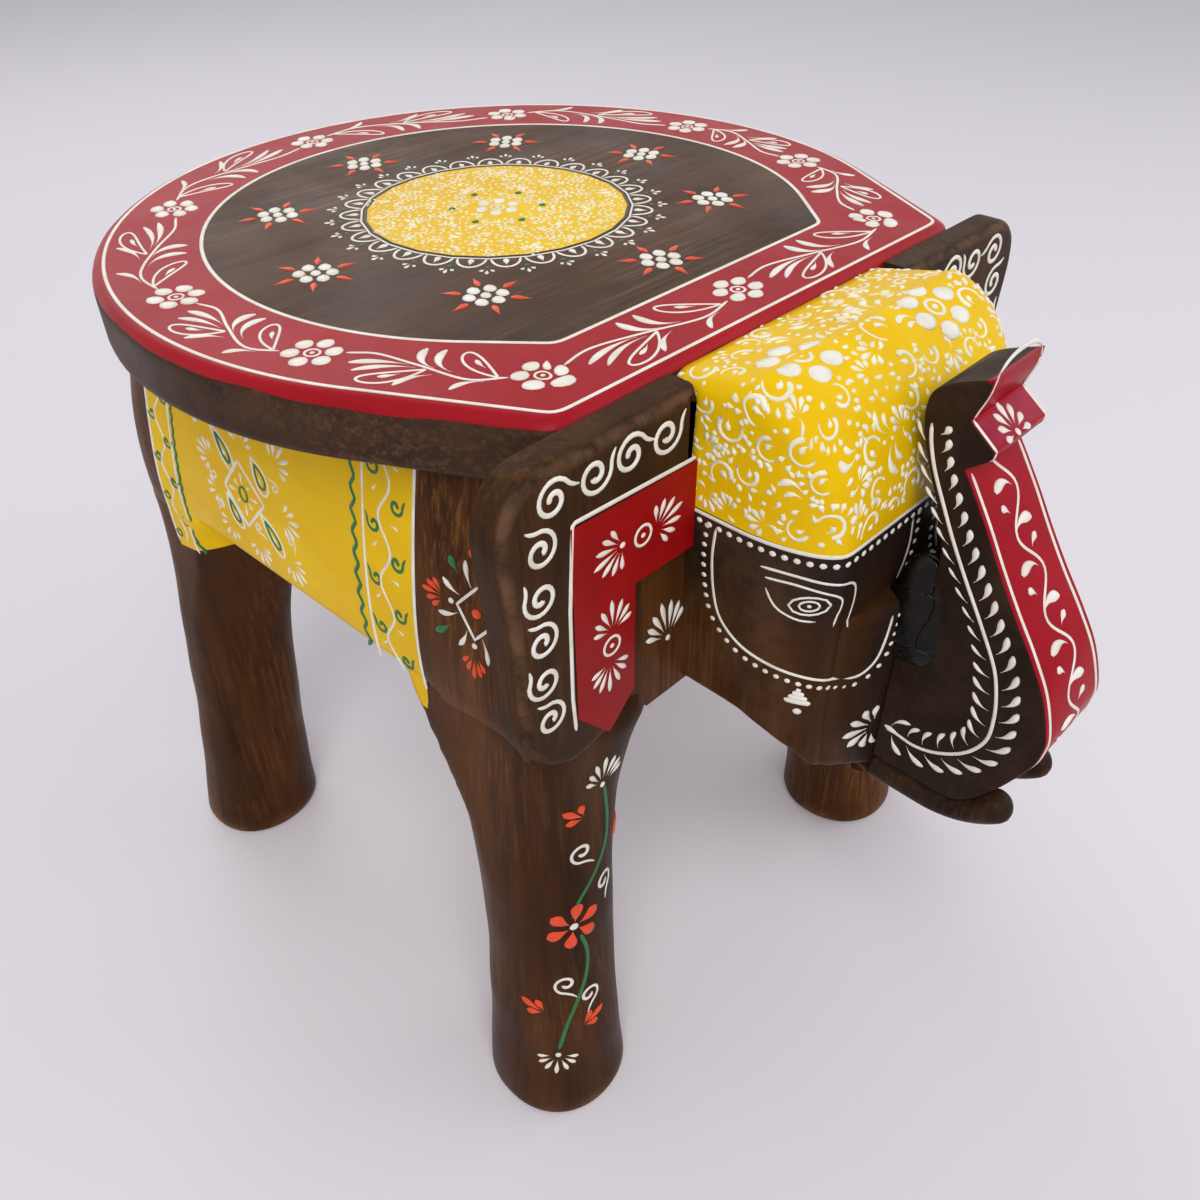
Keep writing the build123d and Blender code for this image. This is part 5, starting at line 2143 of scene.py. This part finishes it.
@dataclass
class TrunkShape:
    """Side view of the sawn trunk and its thickness, wider below the height `even` and narrower above."""

    half: float = 18.0
    widening: float = 0.0357
    even: float = 248.0
    back: Knots = ((-200, 250), (-203.6, 254.7), (-206.4, 261.3), (-207.1, 268.3), (-206.2, 275.2),
                   (-204.2, 281.9), (-201.6, 288.4), (-198.7, 294.8), (-195.9, 301.2), (-193.5, 307.8),
                   (-192.2, 314.6), (-193.1, 321.5), (-196.6, 327.5), (-202.1, 331.9), (-210, 335.8))
    mouth: Knots = ((-210, 335.8), (-209.6, 330.5), (-208.4, 323.8), (-206.5, 316.6))
    lip: Knots = ((-206.5, 316.6), (-215.4, 310.1))
    under: Knots = ((-215.4, 310.1), (-214.8, 307.1), (-208, 301.8))
    front: Knots = ((-208, 301.8), (-210.9, 297.9), (-218.7, 286.2), (-226, 274.3), (-233.7, 262.6),
                    (-241.8, 251.2), (-249.1, 239.2), (-253.7, 226.1), (-253.9, 219.1), (-252.3, 212.3),
                    (-246.1, 199.8), (-242.3, 193.9), (-238.3, 188.1), (-233.2, 183.4), (-226.9, 181.8))
    bottom: float = 181.8
    root: float = -200.0
    edge: float = 0.9

    def bent(self, points: Array) -> Array:
        """Widen points towards the foot and round the tip's corners down by the cube of the width share.

        Args:
            points: Points of the plain trunk.

        Returns:
            The points moved.
        """
        share = np.abs(points[..., 0]) / self.half
        width = 1 + (self.even - points[..., 2]) * self.widening / self.half
        fall = 6.5 * share**3 * smooth(points[..., 2], 317, 335.8)
        return np.stack([points[..., 0] * width, points[..., 1], points[..., 2] - fall], -1)


@dataclass
class TuskShape:
    """A tusk's middle line, straight from its root to its end and then bent up, and its radii."""

    aside: float = 14.0
    root: float = -200.0
    end: float = -220.6
    level: float = 174.6
    bend: float = 34.0
    turn: float = 45.0
    thick: float = 6.5
    tip: float = 6.0
    dome: float = 5.0


class Trunk:
    """The raised trunk with its crimson front, and the two tusks under it."""

    def __init__(self, shape: TrunkShape, tusk: TuskShape) -> None:
        self.shape, self.tusk = shape, tusk
        lip, under = (evenly(np.array(part, float), 6) for part in (shape.lip, shape.under))
        front = evenly(through(shape.front, 300), 90)
        bottom = np.array([shape.front[-1], (shape.root, shape.bottom)])
        back, mouth = evenly(through(shape.back, 300), 70), evenly(through(shape.mouth, 60), 14)
        self.parts = [back, mouth, lip, under, front, bottom]

    def board(self) -> None:
        """The trunk: its side view stacked across its thickness, crimson in front and in the mouth."""
        s = self.shape
        outline = np.vstack([part[:-1] for part in self.parts] + [self.parts[-1][-1:]])
        ends = np.cumsum([len(part) - 1 for part in self.parts])
        index = np.arange(len(outline))
        levels = rolled(s.edge, -s.half, s.half)
        made = slab_object("trunk_wood", outline, lambda flat, level: s.bent(np.c_[level, flat]), levels)
        rows = np.array([-1.0, -1, -1, -0.3, 1, 1, 1, 1, -0.3, -1, -1, -1])
        red = (index >= ends[0] - 1) & (index < ends[4] - 6)
        store(made, "red", np.where(red[None], rows[:, None], -1.0))
        lip = (index > ends[1]) & (index < ends[2])
        # The lip's top gets the rose coat: pink paint with painted sheen on the crimson.
        store(made, "rose", np.where(lip[None] & (rows[:, None] > 0), 1.0, -1.0))
        store(made, "wear", np.full((12, len(outline)), 0.08))
        wood = LacqueredWood((0.012, 0.0062, 0.0040), (0.029, 0.0145, 0.0080), (0.055, 0.026, 0.013))
        material = wood_material("trunk_lacquer", wood, [("red", CRIMSON), ("rose", ROSE_AND_SHEEN)])
        dress(made, material, "trunk_lacquer", "trunk")

    def side(self, side: Side) -> None:
        """The leafy stem on one side of the trunk: drops outside it, thin touches inside it.

        Args:
            side: Side of the elephant.
        """
        s = self.shape
        tilt = s.half + s.even * s.widening
        out = side.value
        face = FlatFace((out * tilt, 0, 0), (0, -1, 0), (-out * s.widening, 0, 1), (out, 0, 0))
        made = Ornament(f"trunk_{side.word}", face, "trunk_lacquer", rise=0.45)
        stem = through([(203.2, 197.6), (209.2, 196.6), (214.3, 196.1), (221.0, 197.8), (228.4, 202.2),
                        (233.6, 207.7), (236.9, 215), (237.0, 224.0), (235.5, 232.9), (232.4, 242.2),
                        (225.4, 254.0), (216.6, 267.6), (210.0, 278.3), (204.7, 287.9), (199.4, 298),
                        (196.4, 306), (195.2, 312)], 300)
        made.add(WHITE, line(stem, 1.5))
        made.add(WHITE, touch((210, 196.6), (202.6, 197.8), 2.6))
        vine = RibbonFace(face, stem)

        def beside(s0: float, tail: float, head: float, ahead: float, width: float, bow: float) -> Strokes:
            """A touch from one distance beside the stem to another, further along it."""
            a = vine.flat(np.array(s0), np.array(tail))
            b = vine.flat(np.array(min(s0 + ahead, vine.length + 3)), np.array(head))
            return touch([float(v) for v in a], [float(v) for v in b], width, bow)

        for s0 in np.arange(1.5, vine.length - 3, 6.5):
            thin = float(smooth(s0, 55, 85))
            made.add(WHITE, beside(s0, 2.0, 7.6 - 3.4 * thin, 5.6, 2.0 - 0.7 * thin, 0.16 - 0.1 * thin))
        for s0 in np.arange(3.0, vine.length - 2, 6.0):
            far = float(smooth(s0, 80, 135))
            made.add(WHITE, beside(s0, -1.9 - 1.2 * far, -7.4 + 1.6 * far, 5.6 - 0.8 * far, 2.6, -0.14))
        made.build()

    def front_paint(self) -> None:
        """White edges from the tip down, a fan in the mouth, a waving line and paired touches."""
        s = self.shape
        profile = np.vstack([part[:-1] for part in self.parts[1:4]] + [self.parts[4]])
        run = run_of(profile)
        throat = float(run[sum(len(part) - 1 for part in self.parts[1:4])])
        length = float(run[-1])
        along, across, edge_x = 0.75, 1.25, 17.5
        p = np.arange(0, length, along)
        x = np.arange(-edge_x, edge_x + 0.1, across)
        y, z = (np.interp(p, run, profile[:, k])[:, None] for k in range(2))
        flat = np.stack(np.broadcast_arrays(x[None, :], y, z), -1)
        face = GridFace(s.bent(flat), (0.0, -edge_x), (along, across), (0, -196, 262))
        made = Ornament("trunk_front", face, "trunk_lacquer")
        rim = throat - 8.0

        def edge(sign: int, knots: Knots, width: float, curved: bool = True) -> None:
            """A line along one edge, through distances from the tip and from the middle."""
            made.add(WHITE, line([(far, sign * out) for far, out in knots], width, curved))

        for sign in (1, -1):
            edge(sign, ((throat + 2, 15.3), (throat + 55, 15.0), (length - 14, 15.6)), 1.6)
            edge(sign, ((19.6, 16.6), (rim - 3, 16.6), (rim, 16.4)), 1.5, False)
        for sign in (1, -1):
            edge(sign, ((1.0, 14.5), (4.0, 16.2), (12.0, 16.7), (19.6, 16.6)), 1.5)
        made.add(WHITE, line([(1.1, -14.5), (0.9, 0), (1.1, 14.5)], 1.7))
        made.place(WHITE, fan(7, 10.6, 186, 2.9, 3.0, 1.3), 29.6, -1.5, 180)
        t = np.arange(1.5, length - throat - 12, 1.0)
        wave = 1.2 + 4.4 * np.cos((t - 41) / 13.75 * math.pi)
        made.add(WHITE, line(np.stack([t + throat, wave], 1), 1.35, False))
        for k, s0 in enumerate(np.arange(10.6, length - throat - 12, 13.5)):
            sign = -1 if k % 2 == 0 else 1
            at = throat + s0
            made.place(WHITE, comma(11.0, 4.2, 86 * sign), at + 1, 7.2 * sign, -117 * sign)
            made.place(WHITE, comma(5.0, 2.9, 30 * sign), at + 6.0, 7.0 * sign, -64 * sign)
        made.build()

    def muzzle(self, side: Side) -> None:
        """The fan of drops on the muzzle where the stem starts."""
        made = Ornament(f"muzzle_{side.word}", HeadShape().girth(side), "head_lacquer")
        made.place(WHITE, fan(7, 14.0, 165, 3.1, 3.6), 89.6, 197.5, 178)
        made.build()

    def tusks(self) -> None:
        """Two short round tusks: a straight run, then an arc, and a domed tip."""
        s = self.tusk
        turn = np.radians(np.linspace(0, s.turn, 14))
        dome = np.radians([20.0, 40, 58, 74, 84])
        out = s.dome * np.sin(dome)
        y = np.r_[np.linspace(s.root, s.end, 10)[:-1], s.end - s.bend * np.sin(turn)]
        z = np.r_[np.full(9, s.level), s.level + s.bend * (1 - np.cos(turn))]
        y, z = np.r_[y, y[-1] - out * math.cos(turn[-1])], np.r_[z, z[-1] + out * math.sin(turn[-1])]
        heading = np.r_[np.zeros(9), turn, np.full(5, turn[-1])][:, None]
        radius = np.r_[np.full(9, s.thick), np.linspace(s.thick, s.tip, 14), s.tip * np.cos(dome)][:, None]
        around = np.linspace(0, 2 * math.pi, 32, endpoint=False)
        across, up = radius * np.cos(around), radius * np.sin(around)
        wood = LacqueredWood((0.012, 0.007, 0.005), (0.035, 0.018, 0.010))
        for side in Side:
            name = f"tusk_{side.word}"
            x = side.value * s.aside + across
            grid = (x, y[:, None] + up * np.sin(heading), z[:, None] + up * np.cos(heading))
            made = tube_object(name + "_wood", np.stack(grid, -1))
            store(made, "wear", np.zeros((len(y), 32)))
            dress(made, wood_material("tusk_lacquer", wood), "trunk_lacquer", name)

    def build(self) -> None:
        """Trunk, tusks and ornament."""
        self.board()
        self.tusks()
        self.front_paint()
        for side in Side:
            self.side(side)
            self.muzzle(side)


class Chest:
    """The breast board and the dowels, which keep their solid shapes."""

    def build(self) -> None:
        """Dress the solids and paint the small fans on the breast."""
        wood = wood_material("chest_lacquer", LacqueredWood())
        pale = LacqueredWood((0.16, 0.085, 0.04), (0.30, 0.18, 0.09), (0.42, 0.27, 0.14), roughness=0.6,
                             coat=0.0)
        bare = wood_material("dowel_wood", pale)
        for made in [o for o in bpy.data.objects if o.type == "MESH"]:
            node = made.name
            if "dowels" in node or node == "chest_plate":
                coat(made, wood if node == "chest_plate" else bare)
        for side in Side:
            face = FlatFace((0, -SEAT_FRONT - 9.0, 0), (-side.value, 0, 0), (0, 0, 1), (0, -1, 0))
            paint = Ornament(f"chest_{side.word}", face, "leg_lacquer")
            paint.place(WHITE, fan(7, 17.5, 104, 2.6, 4.2, 1.3), -64, 229, 103)
            paint.build()


# ------------------------------------------------------------------ room
@dataclass(frozen=True)
class View:
    """Where the camera stands and how it looks."""

    place: Triple = (-0.2769, (MIDDLE_Y - 318.0) * MM, 0.4687)
    azimuth: float = -45.49
    elevation: float = 38.93
    roll: float = -0.81
    lens: float = 32.58


class Studio:
    """Floor, soft light, background and camera."""

    def camera(self, view: View) -> None:
        """Camera that looks along its azimuth and down by its elevation.

        Args:
            view: Where it stands and how it looks.
        """
        lens = bpy.data.cameras.new("camera")
        lens.lens, lens.sensor_width = view.lens, 36.0
        lens.clip_start = 0.01
        made = in_scene("camera", lens)
        a, e, r = (math.radians(v) for v in (view.azimuth, view.elevation, view.roll))
        ahead = Vector((-math.sin(a) * math.cos(e), math.cos(a) * math.cos(e), -math.sin(e)))
        right = Vector((math.cos(a), math.sin(a), 0))
        up = right.cross(ahead)
        across = right * math.cos(r) + up * math.sin(r)
        over = up * math.cos(r) - right * math.sin(r)
        turn = Matrix((across, over, -ahead)).transposed().to_4x4()
        made.matrix_world = Matrix.Translation(view.place) @ turn
        bpy.context.scene.camera = made

    def floor(self) -> None:
        """Pale plain floor under the feet."""
        mesh = bpy.data.meshes.new("floor")
        mesh.from_pydata([(-4, -4, 0), (4, -4, 0), (4, 4, 0), (-4, 4, 0)], [], [(0, 1, 2, 3)])
        made = in_scene("floor", mesh)
        shader = Shader("floor_pale")
        shader.set({"Base Color": (0.80, 0.76, 0.80), "Roughness": 0.9})
        coat(made, shader.material)

    def world(self) -> None:
        """White to the camera and in reflections, a soft even light otherwise."""
        world = bpy.data.worlds.new("room")
        world.use_nodes = True
        nodes = Nodes(world.node_tree)
        soft = nodes.node("Background", {0: (0.95, 0.95, 1.0), 1: 0.52})
        seen = nodes.node("Background", {0: (1, 1, 1), 1: 1.0})
        ray = nodes.node("LightPath").outputs
        shown = nodes.math("MAXIMUM", ray["Is Camera Ray"], ray["Is Glossy Ray"])
        shown = nodes.math("MAXIMUM", shown, ray["Is Transmission Ray"])
        choice = nodes.node("MixShader", {0: shown, 1: soft.outputs[0], 2: seen.outputs[0]})
        nodes.node("OutputWorld", {"Surface": choice.outputs[0]})
        bpy.context.scene.world = world

    def lights(self) -> None:
        """A large key from the front left, a fill and a light over the back."""
        aim = Vector((0, 0, 0.2))
        for name, place, size, power in (("key", (-0.9, -1.0, 1.7), 1.1, 19.0),
                                         ("fill", (1.4, -1.0, 1.1), 1.4, 7.0),
                                         ("back", (0.4, 1.5, 1.6), 1.2, 9.0)):
            lamp = bpy.data.lights.new(name, "AREA")
            lamp.size, lamp.energy = size, power
            made = in_scene(name, lamp)
            made.location = place
            made.rotation_euler = (aim - Vector(place)).to_track_quat("-Z", "Y").to_euler()

    def build(self) -> None:
        """Set the room up."""
        self.floor()
        self.world()
        self.lights()
        self.camera(View())
        bpy.context.scene.view_settings.view_transform = "Standard"


def main() -> None:
    """Build the stool and its room; each dressed piece logs its face count."""
    logging.basicConfig(level=logging.INFO, format="%(name)s %(message)s")
    Chest().build()
    Seat(SeatShape()).build()
    Body(BodyShape()).build()
    Head(HeadShape()).build()
    for side in Side:
        Ear(EarShape(), side).build()
    Trunk(TrunkShape(), TuskShape()).build()
    Studio().build()


if __name__ == "__main__":
    main()
